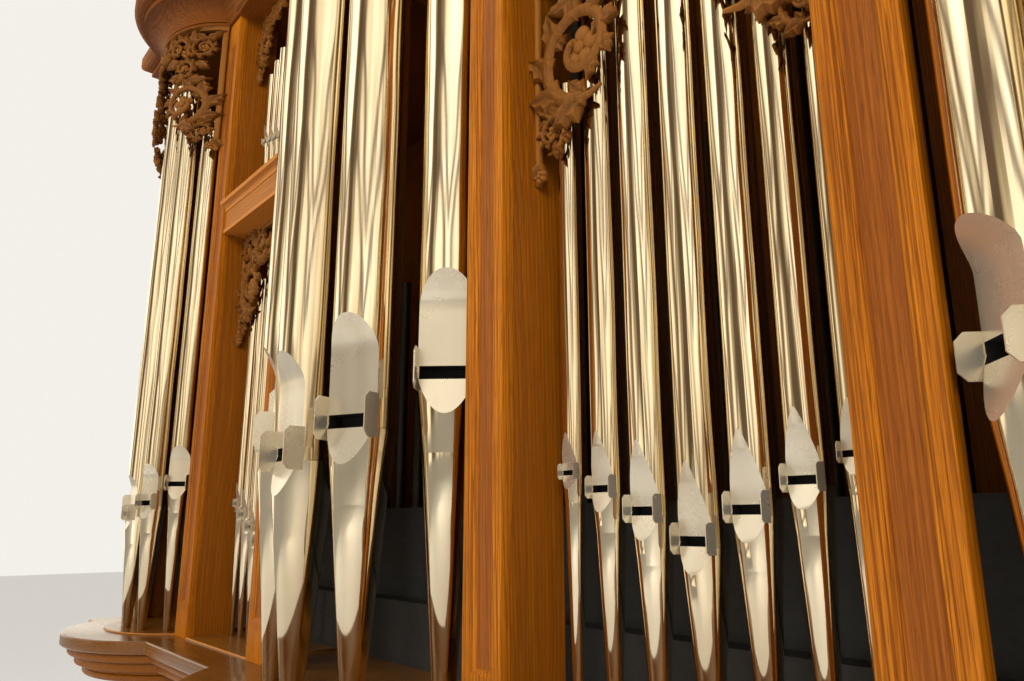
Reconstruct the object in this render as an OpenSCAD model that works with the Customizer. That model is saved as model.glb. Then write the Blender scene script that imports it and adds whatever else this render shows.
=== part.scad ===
// Pipe organ: an oak case of nine bays, with display pipes of polished tin.
// X runs along the front, the front faces minus Y, and Z is up from the floor.
// The bays, from the middle outwards on each side, are the centre tower, an inner
// flat, a large tower, a side flat in two storeys, and a small end tower.

/* [Case] */
// Depth of the case from the front of its posts to its back
case_depth = 1100; // [1000:10:1400]
// Height of the impost shelf's top above the floor
impost_h = 1300; // [1200:10:1500]
// Thickness of the boards of the case
board_t = 28; // [22:1:34]
// Width of the posts between the bays
post_w = 110; // [100:2:130]
// Depth of the boards that line the sides of the flats
reveal_d = 150; // [130:5:180]
// Thickness of the boards that line the sides of the flats
reveal_t = 25; // [18:1:30]
// Height of the plinth
plinth_h = 130; // [100:5:180]
// How far the plinth stands out from the lower case
plinth_out = 18; // [10:1:25]
// How far the lower case stands back from the posts above it
lower_back = 40; // [25:5:60]

/* [Bays] */
// Clear width of the centre tower
centre_w = 700; // [680:10:760]
// Clear width of each inner flat
inner_w = 640; // [620:10:700]
// Clear width of each large tower
tower_w = 870; // [850:10:940]
// Clear width of each side flat
flat_w = 500; // [490:10:560]
// Clear width of each end tower
end_w = 520; // [510:10:560]
// How far the toe board of the centre tower bows forward
centre_bow_d = 185; // [175:5:200]
// How far the toe board of a large tower bows forward
tower_bow_d = 210; // [200:5:225]
// How far the toe board of an end tower bows forward
end_bow_d = 145; // [138:1:155]

/* [Heights above the impost] */
// Height of the end towers and the side flats
low_h = 2240; // [2200:10:2300]
// How much higher the inner flats are than the side flats
inner_up = 260; // [220:10:320]
// How much higher the centre tower is than the inner flats
centre_up = 450; // [400:10:500]
// How much higher the large towers are than the centre tower
tower_up = 350; // [300:10:450]
// Underside of the rail across the side flats
flat_rail_z = 1360; // [1340:5:1380]
// Underside of the rail across the inner flats
inner_rail_z = 1610; // [1590:5:1640]
// Height of the rails across the flats
rail_h = 130; // [120:5:150]
// How far the cornice of a side flat sweeps up beside the large tower
flat_sweep = 260; // [200:10:320]
// How far the cornice of an inner flat rises at its two sides
inner_sweep = 110; // [80:5:150]

/* [Impost] */
// How far the shelf stands out from the posts along the flats
shelf_reach = 110; // [90:5:130]
// How far the shelf stands out from the toe boards of the towers
round_reach = 130; // [115:5:145]
// How far the shelf stands out at the two ends of the case
side_reach = 50; // [30:5:70]
// Thickness of the shelf
shelf_t = 40; // [30:1:50]
// Height of each of the two steps under the shelf
step_h = 30; // [24:1:36]
// How far each step stands back from the one above it
step_in = 25; // [20:1:30]
// Height of the hollow curve under the towers
corbel_h = 430; // [380:10:500]
// Thickness of the toe boards
toe_t = 6; // [4:1:10]

/* [Cornice] */
// Height of the crown mouldings of the towers
crown_h = 220; // [200:5:240]
// How far the crown mouldings stand out
crown_reach = 140; // [130:2:150]
// Height of the curved mouldings over the flats
sweep_h = 90; // [70:5:110]
// How far the curved mouldings over the flats stand out
sweep_reach = 60; // [50:2:80]

/* [Pipes] */
// Radius of the middle pipe of the centre tower
centre_pipe_r = 66; // [60:1:67]
// Radius of the middle pipe of a large tower
tower_pipe_r = 73; // [66:1:76]
// Radius of the middle pipe of an end tower
end_pipe_r = 44; // [40:1:45]
// Radius of the middle pipe of an inner flat
inner_pipe_r = 38; // [34:0.5:39]
// Radius of the middle pipe of a side flat
flat_pipe_r = 29; // [26:0.5:30]
// Radius of the middle small pipe above the rails
small_pipe_r = 22; // [19:0.5:22.5]
// Room between the pipes of the centre tower and the edge of its toe board
centre_room = 6; // [5:1:12]
// Room between the pipes of the other towers and the edge of their toe boards
tower_room = 20; // [12:1:24]
// How far the outer pipes of the large towers stand back from the round of the others
ring_back = 30; // [10:2:34]
// How far the pipes in the flats stand behind the front of the posts
row_set = 105; // [100:1:106]
// Room between the outer pipes of a flat and the boards that line it
row_room = 32; // [24:1:36]
// Thickness of the ears beside the mouths
ear_t = 3; // [2:0.5:4]

/* [Carving] */
// Thickness of the carved pipe shades
shade_t = 22; // [18:1:26]
// Room between the shades of the flats and the pipes behind them
shade_gap = 3; // [2:0.5:8]
// Height of the shades of the centre tower
centre_carving = 660; // [600:10:700]
// Height of the shades of the large towers
tower_carving = 760; // [700:10:800]
// Height of the shades of the end towers
end_carving = 520; // [480:10:560]
// Height of the lower shades of the inner flats
inner_carving = 600; // [560:10:640]
// Height of the lower shades of the side flats
flat_carving = 400; // [380:10:440]
// Height of the upper shades of all flats
top_carving = 260; // [240:5:280]

/* [Inside] */
// Distance from the front of the posts to the wind chest
chest_y = 330; // [300:10:380]
// Height of the wind chest
chest_h = 400; // [340:10:440]
// Height of the ledge along the front of the wind chest
ledge_h = 160; // [120:5:200]
// Depth of the ledge along the front of the wind chest
chest_ledge = 60; // [40:5:80]
// Radius of the pipes that stand inside
inner_r = 17; // [12:1:20]
// Height of the tallest of the pipes that stand inside
inner_pipe_h = 1500; // [1300:50:1600]

/* [Hidden] */
$fn = 96;

oak = "#a9743c";
carved_oak = "#7a4a22";
tin = "#cfc9bb";
dark = "#2c2a28";

// Places along the front, measured from the middle of the case
post_step = [
    centre_w / 2,
    centre_w / 2 + post_w + inner_w,
    centre_w / 2 + 2 * post_w + inner_w + tower_w,
    centre_w / 2 + 3 * post_w + inner_w + tower_w + flat_w,
    centre_w / 2 + 4 * post_w + inner_w + tower_w + flat_w + end_w
];
inner_x = post_step[0] + post_w + inner_w / 2;
tower_x = post_step[1] + post_w + tower_w / 2;
flat_x = post_step[2] + post_w + flat_w / 2;
end_x = post_step[3] + post_w + end_w / 2;
half_w = post_step[4] + post_w;

// Places from front to back
front_y = -case_depth / 2;
back_y = case_depth / 2;
lower_y = front_y + lower_back;
shade_y = front_y + row_set - shade_gap - shade_t;

// Heights
shelf_z = impost_h;
under_z = impost_h - shelf_t - 2 * step_h;
toe_z = impost_h + toe_t;
low_z = impost_h + low_h;
inner_z = low_z + inner_up;
centre_z = inner_z + centre_up;
tower_z = centre_z + tower_up;
flat_rail = impost_h + flat_rail_z;
inner_rail = impost_h + inner_rail_z;

// The moulded edge of the rails across the flats
rail_edge = 30;
rail_nose = 14;
rail_set = 6;

// How far the lower tip of the hollow curves stands out from the lower case
corbel_tip = 14;

// The steps of the crown mouldings
bead_h = 20;
bead_out = 14;
hollow_r = 80;
band_h = 24;
band_out = 6;
edge_r = 30;

// Lower case
lower_rail_h = 120;
stile_w = 110;
panel_t = 14;
panel_field = 6;
panel_margin = 55;
pocket_d = 8;

// The sunk panel on the face of each post
groove_w = 60;
groove_end = 105;
groove_d = 3;
groove_in = 8;
groove_deep = 7;

// Height of the mouths above the foot: of the middle pipe, its rise from pipe to pipe
// towards the sides, and how much steeper it gets. Then the same for the pipes' tops.
centre_mouth = [392, 36, 12];
centre_top = [2710, -20, -50];
inner_mouth = [318, 50, -3.5];
inner_top = [1540, -10, -33];
inner_small_mouth = [220, 8, 0.5];
inner_small_top = [670, -8, -4];
tower_mouth = [484, 38.5, 17.5];
tower_top = [3050, -20, -50];
flat_mouth = [290, 46, -2];
flat_top = [1280, -8, -22];
flat_small_mouth = [200, 8, 0.5];
flat_small_top = [610, -8, -4];
end_mouth = [374, 22, 14];
end_top = [2060, -20, -30];

// How the pipes of a bay grow thinner: lost radius, times the square of the place
wide_fall = 1.2;
end_fall = 0.5;
inner_fall = 1.7;
flat_fall = 0.78;
small_fall = 0.12;

// The strips along the top and the two sides of a shade
top_strip = 16;
side_strip = 12;
shade_in = 3;
sweep_step = 17;

// The scrolls of a shade over its tail: radius, and height of the centre over the tail's
// tip, as shares of a unit. The unit is the half width, or less on a low shade.
tail_scroll = [0.16, 0.30];
main_scroll = [0.42, 0.76];
scroll_top = 1.15;
low_shade = 1.6;
eye_share = 0.42;
scroll_lap = 3;

// How far a cut reaches past the surface that it opens
past = 1;

// The pipes inside: four ranks, and how much shorter they get
rank_n = 4;
rank_side_n = 10;
rank_y = 48;
rank_step = 72;
inner_step = 290;
inner_drop = 60;
rank_drop = 120;

// Radius of the arc that passes through the two ends of a chord, and stands out by bow_d
function arc_r(w, bow_d) = (w * w / 4 + bow_d * bow_d) / (2 * bow_d);
function arc_y(w, bow_d) = front_y - bow_d + arc_r(w, bow_d);

// The pipes of one bay grow thinner from the middle to the sides
function slim(r, fall, i) = r - fall * i * i;
function row_x(i, r, fall, gap) =
    i == 0 ? 0 : row_x(i - 1, r, fall, gap) + slim(r, fall, i - 1) + gap + slim(r, fall, i);
function row_sum(n, r, fall) =
    n == 0 ? 2 * r : row_sum(n - 1, r, fall) + 4 * slim(r, fall, n);
function row_gap(w, n, r, fall) = (w - 2 * row_room - row_sum(n, r, fall)) / (2 * n);
function curve(start, step, bend, i) = start + step * i + bend * i * i;

// One display pipe, its mouth turned to minus Y before it is turned by angle. The slot is
// a little narrower than the mouth, and the two flats end inside the slot.
module pipe(r, mouth, top) {
    mouth_w = 1.72 * r;
    lip_y = -sqrt(r * r - mouth_w * mouth_w / 4);
    lip_in = r + lip_y;
    leaf_h = 3.3 * r;
    low_lip_h = 1.42 * r;
    slot_w = 1.6 * r;
    slot_h = 0.34 * r;
    slot_up = 0.04 * r;
    slot_d = 0.35 * r;
    ear_h = 1.25 * r;
    ear_low = 0.3 * r;
    ear_out = 0.08 * r;
    toe_r = 0.3 * r;
    difference() {
        union() {
            cylinder(r1 = toe_r, r2 = r, h = mouth);
            translate([0, 0, mouth]) cylinder(r = r, h = top - mouth);
        }
        // the flat of the upper lip
        translate([0, -r, mouth + leaf_h]) rotate([atan(lip_in / leaf_h), 0, 0])
            translate([-1.2 * r, -r, -leaf_h + slot_h / 2]) cube([2.4 * r, r, 1.5 * leaf_h]);
        // the flat of the lower lip
        translate([0, lip_y, mouth]) rotate([-atan(lip_in / low_lip_h), 0, 0])
            translate([-1.2 * r, -r, -leaf_h]) cube([2.4 * r, r, leaf_h + slot_h / 2]);
        // the mouth itself
        translate([-slot_w / 2, -1.2 * r, mouth + slot_up])
            cube([slot_w, 1.2 * r + lip_y + slot_d, slot_h]);
    }
    for (side = [-1, 1])
        translate([side * mouth_w / 2 - ear_t / 2, -r - ear_out, mouth - ear_low])
            cube([ear_t, r + ear_out + lip_y + ear_t, ear_h]);
}

// A row of pipes side by side in a flat
module pipe_row(w, n, r, fall, foot_z, mouth, top) {
    gap = row_gap(w, n, r, fall);
    for (i = [-n : n])
        translate([sign(i) * row_x(abs(i), r, fall, gap),
            front_y + row_set + slim(r, fall, abs(i)), foot_z])
            pipe(
                slim(r, fall, abs(i)),
                curve(mouth[0], mouth[1], mouth[2], abs(i)),
                curve(top[0], top[1], top[2], abs(i))
            );
}

// The five pipes of a tower, each turned to face outwards. The outer two stand back from
// the front of the posts by back.
module pipe_ring(w, bow_d, room, back, r, fall, mouth, top) {
    big = arc_r(w, bow_d);
    ring = big - room - r;
    step = acos((big - bow_d - back) / ring) / 2;
    translate([0, arc_y(w, bow_d), toe_z])
        for (i = [-2 : 2])
            rotate([0, 0, i * step]) translate([0, -ring, 0])
                pipe(
                    slim(r, fall, abs(i)),
                    curve(mouth[0], mouth[1], mouth[2], abs(i)),
                    curve(top[0], top[1], top[2], abs(i))
                );
}

module end_pipes() {
    color(tin) translate([end_x, 0, 0])
        pipe_ring(end_w, end_bow_d, tower_room, 0, end_pipe_r, end_fall, end_mouth, end_top);
}

module flat_pipes() {
    color(tin) translate([flat_x, 0, 0]) {
        pipe_row(flat_w, 3, flat_pipe_r, flat_fall, toe_z, flat_mouth, flat_top);
        pipe_row(flat_w, 4, small_pipe_r, small_fall, flat_rail + rail_h,
            flat_small_mouth, flat_small_top);
    }
}

module tower_pipes() {
    color(tin) translate([tower_x, 0, 0])
        pipe_ring(tower_w, tower_bow_d, tower_room, ring_back, tower_pipe_r, wide_fall,
            tower_mouth, tower_top);
}

module inner_flat_pipes() {
    color(tin) translate([inner_x, 0, 0]) {
        pipe_row(inner_w, 3, inner_pipe_r, inner_fall, toe_z, inner_mouth, inner_top);
        pipe_row(inner_w, 5, small_pipe_r, small_fall, inner_rail + rail_h,
            inner_small_mouth, inner_small_top);
    }
}

module centre_pipes() {
    color(tin)
        pipe_ring(centre_w, centre_bow_d, centre_room, 0, centre_pipe_r, wide_fall,
            centre_mouth, centre_top);
}

// The straight impost: a shelf over two steps, along the front and both ends
module straight_shelf() {
    for (i = [0 : 2]) {
        inset = i * step_in;
        drop = i == 0 ? 0 : shelf_t + (i - 1) * step_h;
        thick = i == 0 ? shelf_t : step_h;
        translate([-half_w - side_reach + inset, front_y - shelf_reach + inset,
            shelf_z - drop - thick])
            cube([2 * (half_w + side_reach - inset), case_depth + shelf_reach - inset, thick]);
    }
}

module impost_shelf() {
    color(oak) straight_shelf();
}

// The round shelf of one tower, in front of the straight one, and the hollow curve that
// carries it, in front of the lower case
module tower_base(w, bow_d) {
    $fn = 192;
    big = arc_r(w, bow_d) + round_reach;
    heart = arc_y(w, bow_d);
    tip_r = heart - lower_y + corbel_tip;
    top_r = big - 3 * step_in;
    hollow = (pow(top_r - tip_r, 2) + corbel_h * corbel_h) / (2 * (top_r - tip_r));
    for (i = [0 : 2]) {
        inset = i * step_in;
        drop = i == 0 ? 0 : shelf_t + (i - 1) * step_h;
        thick = i == 0 ? shelf_t : step_h;
        translate([0, 0, shelf_z - drop - thick]) linear_extrude(thick) difference() {
            translate([0, heart]) circle(r = big - inset);
            translate([-2 * big, front_y - shelf_reach + inset]) square(4 * big);
        }
    }
    difference() {
        translate([0, heart, under_z]) rotate_extrude() difference() {
            translate([0, -corbel_h]) square([top_r, corbel_h]);
            translate([tip_r + hollow, -corbel_h]) circle(r = hollow);
        }
        translate([-2 * big, lower_y, 0]) cube([4 * big, 4 * big, 2 * shelf_z]);
    }
}

module tower_bases() {
    color(oak) {
        tower_base(centre_w, centre_bow_d);
        for (side = [-1, 1]) {
            translate([side * tower_x, 0, 0]) tower_base(tower_w, tower_bow_d);
            translate([side * end_x, 0, 0]) tower_base(end_w, end_bow_d);
        }
    }
}

// The toe boards, one between each pair of posts, level with the front of the posts
module toe_round(w, bow_d) {
    translate([0, 0, shelf_z]) linear_extrude(toe_t) {
        intersection() {
            translate([0, arc_y(w, bow_d)]) circle(r = arc_r(w, bow_d));
            translate([-w / 2, front_y - 2 * bow_d]) square([w, 2 * bow_d + board_t]);
        }
        translate([-w / 2, front_y + board_t]) square([w, chest_y - chest_ledge - board_t]);
    }
}

module toe_flat(w) {
    translate([-w / 2, front_y, shelf_z]) cube([w, chest_y - chest_ledge, toe_t]);
}

module toe_boards() {
    color(oak) {
        toe_round(centre_w, centre_bow_d);
        for (side = [-1, 1]) {
            translate([side * inner_x, 0, 0]) toe_flat(inner_w);
            translate([side * tower_x, 0, 0]) toe_round(tower_w, tower_bow_d);
            translate([side * flat_x, 0, 0]) toe_flat(flat_w);
            translate([side * end_x, 0, 0]) toe_round(end_w, end_bow_d);
        }
    }
}

// One post: a front board with a sunk panel, and the board that lines the flat beside it
module post(i, lining, height) {
    translate([post_step[i], front_y, shelf_z]) difference() {
        union() {
            cube([post_w, board_t, height]);
            if (lining > 0)
                translate([post_w - reveal_t, 0, 0]) cube([reveal_t, reveal_d, height]);
            if (lining < 0) cube([reveal_t, reveal_d, height]);
        }
        translate([(post_w - groove_w) / 2, -1, groove_end])
            cube([groove_w, 1 + groove_d, height - 2 * groove_end]);
        translate([(post_w - groove_w) / 2 + groove_in, -1, groove_end + groove_in])
            cube([groove_w - 2 * groove_in, 1 + groove_deep,
                height - 2 * groove_end - 2 * groove_in]);
    }
}

module inner_posts() {
    color(oak) {
        post(0, 1, centre_z - shelf_z);
        post(1, -1, tower_z - shelf_z);
    }
}

module outer_posts() {
    color(oak) {
        post(2, 1, tower_z - shelf_z);
        post(3, -1, low_h);
        post(4, 0, low_h);
    }
}

// A rail across a flat, between the lining boards, with a moulded top edge
module rail(x, w, z) {
    face_h = rail_h - rail_edge;
    translate([x - w / 2, front_y, z]) {
        translate([0, rail_set, 0]) cube([w, reveal_d - rail_set, face_h]);
        translate([0, -rail_nose, face_h]) cube([w, reveal_d + rail_nose, rail_edge]);
    }
}

module flat_rail_part() {
    color(oak) rail(flat_x, flat_w, flat_rail);
}

module inner_rail_part() {
    color(oak) rail(inner_x, inner_w, inner_rail);
}

// Outline of a crown moulding: how far it stands out at each height, from its back.
// From below: a flat bead, a hollow, a flat band, and a slab with a rounded lower edge.
module crown_outline(back) {
    hollow_z = bead_h;
    band_z = hollow_z + hollow_r;
    slab_z = band_z + band_h;
    translate([-back, 0]) square([back + bead_out, band_z]);
    translate([0, hollow_z]) difference() {
        square([bead_out + hollow_r, hollow_r]);
        translate([bead_out + hollow_r, 0]) circle(r = hollow_r);
    }
    translate([-back, band_z]) square([back + bead_out + hollow_r + band_out, band_h]);
    translate([-back, slab_z]) square([back + crown_reach - edge_r, edge_r]);
    translate([crown_reach - edge_r, slab_z + edge_r]) intersection() {
        circle(r = edge_r);
        translate([0, -edge_r]) square([edge_r, edge_r]);
    }
    translate([-back, slab_z + edge_r])
        square([back + crown_reach, crown_h - slab_z - edge_r]);
}

// A straight crown moulding along the front and both ends of one tower
module crown_straight(w, depth) {
    intersection() {
        rotate([90, 0, 90]) translate([0, 0, -w]) linear_extrude(2 * w)
            mirror([1, 0]) crown_outline(depth);
        rotate([90, 0, 0]) translate([0, 0, -depth]) linear_extrude(depth + 2 * crown_reach)
            union() {
                translate([w / 2, 0]) crown_outline(w / 2);
                mirror([1, 0]) translate([w / 2, 0]) crown_outline(w / 2);
            }
    }
}

// The round crown moulding of one tower, in front of the straight one
module crown_round(w, bow_d) {
    $fn = 192;
    big = arc_r(w, bow_d);
    translate([0, arc_y(w, bow_d) - front_y, 0]) difference() {
        rotate_extrude() translate([big, 0]) crown_outline(big - bow_d);
        translate([-2 * big, -(big - bow_d), -past]) cube([4 * big, 4 * big, crown_h + 2 * past]);
    }
}

// The crown mouldings of a tower, over its posts and its round front
module tower_crown(w, bow_d, top) {
    translate([0, front_y, top]) {
        crown_straight(w + 2 * post_w, case_depth);
        crown_round(w, bow_d);
    }
}

// The walls of a tower above the bays beside it, from heights low_in and low_out
module tower_walls(w, low_in, low_out, top) {
    out = w / 2 + post_w;
    deep = case_depth - reveal_d;
    translate([-out, front_y + reveal_d, low_in]) cube([reveal_t, deep, top - low_in]);
    translate([out - reveal_t, front_y + reveal_d, low_out])
        cube([reveal_t, deep, top - low_out]);
    translate([-out, back_y - board_t, low_z]) cube([2 * out, board_t, top - low_z]);
}

module end_crown() {
    color(oak) translate([end_x, 0, 0]) intersection() {
        tower_crown(end_w, end_bow_d, low_z);
        translate([-end_w / 2 - post_w, front_y - end_w, 0])
            cube([2 * end_w, 2 * case_depth, 2 * tower_z]);
    }
}

module large_crown() {
    color(oak) translate([tower_x, 0, 0]) {
        tower_crown(tower_w, tower_bow_d, tower_z);
        tower_walls(tower_w, inner_z, low_z, tower_z);
    }
}

module centre_crown() {
    color(oak) {
        tower_crown(centre_w, centre_bow_d, centre_z);
        tower_walls(centre_w, inner_z, inner_z, centre_z);
    }
}

// Radius of an arc that climbs by rise over a run, and starts level
function sweep_r(run, rise) = (run * run + rise * rise) / (2 * rise);

// A moulding that bends up on an arc in the plane of the front, with a roof board of
// the same curve behind it, and a back board that closes it down to height low
module swept_crown(x0, x1, arc_x, z, r, rise, low) {
    $fn = 192;
    intersection() {
        translate([arc_x, back_y, z + r]) rotate([90, 0, 0]) rotate_extrude() {
            translate([r - board_t, 0]) square([board_t, case_depth]);
            translate([r - sweep_h, case_depth - board_t]) square([sweep_h, board_t]);
            translate([r - sweep_h, case_depth])
                square([sweep_h - 2 * sweep_step, sweep_reach / 2]);
            translate([r - sweep_h, case_depth]) square([sweep_h / 3, sweep_reach]);
        }
        translate([x0, front_y - sweep_reach, z])
            cube([x1 - x0, case_depth + sweep_reach, rise + sweep_h]);
    }
    difference() {
        translate([x0, back_y - board_t, low]) cube([x1 - x0, board_t, z - low + rise]);
        translate([arc_x, back_y + past, z + r]) rotate([90, 0, 0])
            cylinder(r = r, h = board_t + 2 * past);
    }
}

// Over a side flat the moulding starts level at the end tower, and climbs to the large one
module flat_crown() {
    color(oak) swept_crown(flat_x - flat_w / 2, flat_x + flat_w / 2, flat_x + flat_w / 2,
        low_z, sweep_r(flat_w, flat_sweep), flat_sweep, low_z);
}

// Over an inner flat the moulding hangs like a swag between the two towers
module inner_crown() {
    color(oak) swept_crown(inner_x - inner_w / 2, inner_x + inner_w / 2, inner_x,
        inner_z, sweep_r(inner_w / 2, inner_sweep), inner_sweep, low_z);
}

// The scrolls of the right half of a shade under height 0: place across, height, radius.
// From the tail up: a small one, a main one, one in the corner, and then a row along the
// top to the middle, or a single one in the middle where a row doesn't fit.
function shade_scrolls(s, h) =
    let (
        unit = min(s, h / low_shade),
        corner = (h - scroll_top * unit) / 2,
        rest = s - 2 * corner,
        n = floor(rest / (low_shade * corner)),
        run = n > 0 ? rest / (2 * n) : max(rest, top_strip),
        top_r = run + scroll_lap
    )
    concat(
        [for (part = [tail_scroll, main_scroll])
            [s - part[0] * unit, part[1] * unit - h, part[0] * unit]],
        [[s - corner, -corner, corner]],
        n > 0 ? [for (i = [0 : n - 1]) [(2 * i + 1) * run, -top_r, top_r]] : [[0, -top_r, top_r]]
    );

// Height of the moulding's underside at a place across. It is an arc of radius r that has
// its lowest point at arc_x, or level where r is 0.
function lift(x, arc_x, r) = r > 0 ? r - sqrt(r * r - pow(x - arc_x, 2)) : 0;

// Outline of a pierced shade under a moulding. Each scroll hangs from the moulding over it.
module shade_outline(w, h, arc_x, r) {
    s = w / 2;
    scrolls = shade_scrolls(s, h);
    difference() {
        union() {
            if (r == 0) translate([-s, -top_strip]) square([w, top_strip]);
            if (r > 0) intersection() {
                translate([arc_x, r]) circle(r = r + top_strip);
                translate([-s, -h]) square([w, 2 * h]);
            }
            for (side = [-1, 1]) {
                translate([side * (s - side_strip / 2) - side_strip / 2, -h])
                    square([side_strip, h + lift(side * (s - side_strip), arc_x, r)]);
                for (scroll = scrolls)
                    translate([side * scroll[0], scroll[1] + lift(side * scroll[0], arc_x, r)])
                        circle(r = scroll[2]);
            }
        }
        for (side = [-1, 1], scroll = scrolls)
            if (scroll[0] > 0)
                translate([side * scroll[0], scroll[1] + lift(side * scroll[0], arc_x, r)])
                    circle(r = eye_share * scroll[2]);
        if (r > 0) translate([arc_x, r]) circle(r = r);
    }
}

module flat_shade(x, w, z, h) {
    translate([x, shade_y + shade_t, z]) rotate([90, 0, 0])
        linear_extrude(shade_t) shade_outline(w, h, 0, 0);
}

// A shade whose upper edge follows the swept moulding over it
module swept_shade(x, w, z, arc_x, r) {
    $fn = 192;
    translate([x, shade_y + shade_t, z]) rotate([90, 0, 0])
        linear_extrude(shade_t) shade_outline(w, top_carving, arc_x, r);
}

// The shade of a tower follows the round of its toe board
module round_shade(w, bow_d, z, h) {
    $fn = 192;
    inner = arc_r(w, bow_d) - shade_in;
    intersection() {
        translate([0, arc_y(w, bow_d), z - h]) difference() {
            cylinder(r = inner + shade_t, h = h);
            translate([0, 0, -past]) cylinder(r = inner, h = h + 2 * past);
        }
        translate([0, front_y + board_t, z]) rotate([90, 0, 0])
            linear_extrude(bow_d + 2 * board_t) shade_outline(w, h, 0, 0);
    }
}

module end_shade() {
    color(carved_oak) translate([end_x, 0, 0])
        round_shade(end_w, end_bow_d, low_z, end_carving);
}

module flat_shades() {
    color(carved_oak) {
        flat_shade(flat_x, flat_w, flat_rail, flat_carving);
        swept_shade(flat_x, flat_w, low_z, flat_w / 2, sweep_r(flat_w, flat_sweep));
    }
}

module tower_shade() {
    color(carved_oak) translate([tower_x, 0, 0])
        round_shade(tower_w, tower_bow_d, tower_z, tower_carving);
}

module inner_shades() {
    color(carved_oak) {
        flat_shade(inner_x, inner_w, inner_rail, inner_carving);
        swept_shade(inner_x, inner_w, inner_z, 0, sweep_r(inner_w / 2, inner_sweep));
    }
}

module centre_shade() {
    color(carved_oak) round_shade(centre_w, centre_bow_d, centre_z, centre_carving);
}

// The lower case
module plinth() {
    color(oak) translate([-half_w - plinth_out, lower_y - plinth_out, 0])
        cube([2 * (half_w + plinth_out), back_y - lower_y + 2 * plinth_out, plinth_h]);
}

lower_h = under_z - plinth_h;

module lower_opening(x, w) {
    translate([x - w / 2, -1, lower_rail_h])
        cube([w, board_t + 2, lower_h - 2 * lower_rail_h]);
}

module lower_frame() {
    color(oak) translate([0, lower_y, plinth_h]) difference() {
        translate([-half_w, 0, 0]) cube([2 * half_w, board_t, lower_h]);
        lower_opening(0, centre_w);
        for (side = [-1, 1]) {
            lower_opening(side * inner_x, inner_w);
            lower_opening(side * tower_x, tower_w);
            lower_opening(side * flat_x, flat_w);
            lower_opening(side * end_x, end_w);
        }
    }
}

// A panel with a raised field, set back from the face of its frame
module lower_panel(x, w) {
    h = lower_h - 2 * lower_rail_h;
    translate([x - w / 2, lower_y + panel_t, plinth_h + lower_rail_h]) {
        cube([w, board_t - panel_t, h]);
        translate([panel_margin, -panel_field, panel_margin])
            cube([w - 2 * panel_margin, panel_field, h - 2 * panel_margin]);
    }
}

module lower_panels() {
    color(oak) {
        lower_panel(0, centre_w);
        for (side = [-1, 1]) {
            lower_panel(side * inner_x, inner_w);
            lower_panel(side * tower_x, tower_w);
            lower_panel(side * flat_x, flat_w);
            lower_panel(side * end_x, end_w);
        }
    }
}

// One wall of the case with sunk panels on its outer face, lying in the YZ plane
module side_wall(length, z, h, rows) {
    field_w = (length - 3 * stile_w) / 2;
    field_h = (h - (rows + 1) * stile_w) / rows;
    translate([half_w - board_t, back_y - board_t - length, z]) difference() {
        cube([board_t, length, h]);
        for (row = [0 : rows - 1], half = [0, 1])
            translate([board_t - pocket_d, stile_w + half * (field_w + stile_w),
                stile_w + row * (field_h + stile_w)])
                cube([pocket_d + 1, field_w, field_h]);
    }
}

module side_walls() {
    color(oak) {
        side_wall(back_y - lower_y - 2 * board_t, plinth_h, lower_h, 1);
        side_wall(case_depth - 2 * board_t, shelf_z, low_h, 2);
    }
}

// The back: plain boards in a frame, behind the lower case and behind the pipes
module back_wall(z, h, rows) {
    columns = 7;
    field_w = (2 * half_w - (columns + 1) * stile_w) / columns;
    field_h = (h - (rows + 1) * stile_w) / rows;
    translate([-half_w, back_y - board_t, z]) difference() {
        cube([2 * half_w, board_t, h]);
        for (column = [0 : columns - 1], row = [0 : rows - 1])
            translate([stile_w + column * (field_w + stile_w), board_t - pocket_d,
                stile_w + row * (field_h + stile_w)])
                cube([field_w, pocket_d + 1, field_h]);
    }
}

module case_back() {
    color(oak) {
        back_wall(plinth_h, lower_h, 1);
        back_wall(shelf_z, low_h, 2);
    }
}

// The chest that feeds the pipes, behind the toe boards, with a step along its front
module wind_chest() {
    chest_w = 2 * (half_w - 3 * board_t);
    chest_d = case_depth - chest_y - 4 * board_t;
    color(dark) translate([-chest_w / 2, front_y + chest_y, shelf_z]) {
        cube([chest_w, chest_d, chest_h]);
        translate([0, -chest_ledge, 0]) cube([chest_w, chest_ledge, ledge_h]);
    }
}

// Ranks of plain pipes that stand on the chest and show between the display pipes
module inner_pipes() {
    color(dark) translate([0, front_y + chest_y + rank_y, shelf_z + chest_h])
        for (rank = [0 : rank_n - 1], i = [-rank_side_n : rank_side_n])
            translate([i * inner_step + (rank - (rank_n - 1) / 2) * inner_step / rank_n,
                rank * rank_step, 0])
                cylinder(r = inner_r, h = inner_pipe_h - inner_drop * abs(i) - rank_drop * rank);
}

module mirrored() {
    mirror([1, 0, 0]) children();
}

plinth();
lower_frame();
lower_panels();
mirrored() side_walls();  // case_side_left
side_walls();  // case_side_right
case_back();
impost_shelf();
tower_bases();
toe_boards();
mirrored() outer_posts();  // posts_outer_left
mirrored() inner_posts();  // posts_inner_left
inner_posts();  // posts_inner_right
outer_posts();  // posts_outer_right
mirrored() flat_rail_part();  // rail_flat_left
mirrored() inner_rail_part();  // rail_inner_left
inner_rail_part();  // rail_inner_right
flat_rail_part();  // rail_flat_right
mirrored() end_crown();  // crown_end_left
mirrored() flat_crown();  // crown_flat_left
mirrored() large_crown();  // crown_tower_left
mirrored() inner_crown();  // crown_inner_left
centre_crown();  // crown_centre
inner_crown();  // crown_inner_right
large_crown();  // crown_tower_right
flat_crown();  // crown_flat_right
end_crown();  // crown_end_right
mirrored() end_shade();  // shade_end_left
mirrored() flat_shades();  // shade_flat_left
mirrored() tower_shade();  // shade_tower_left
mirrored() inner_shades();  // shade_inner_left
centre_shade();  // shade_centre
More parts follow.
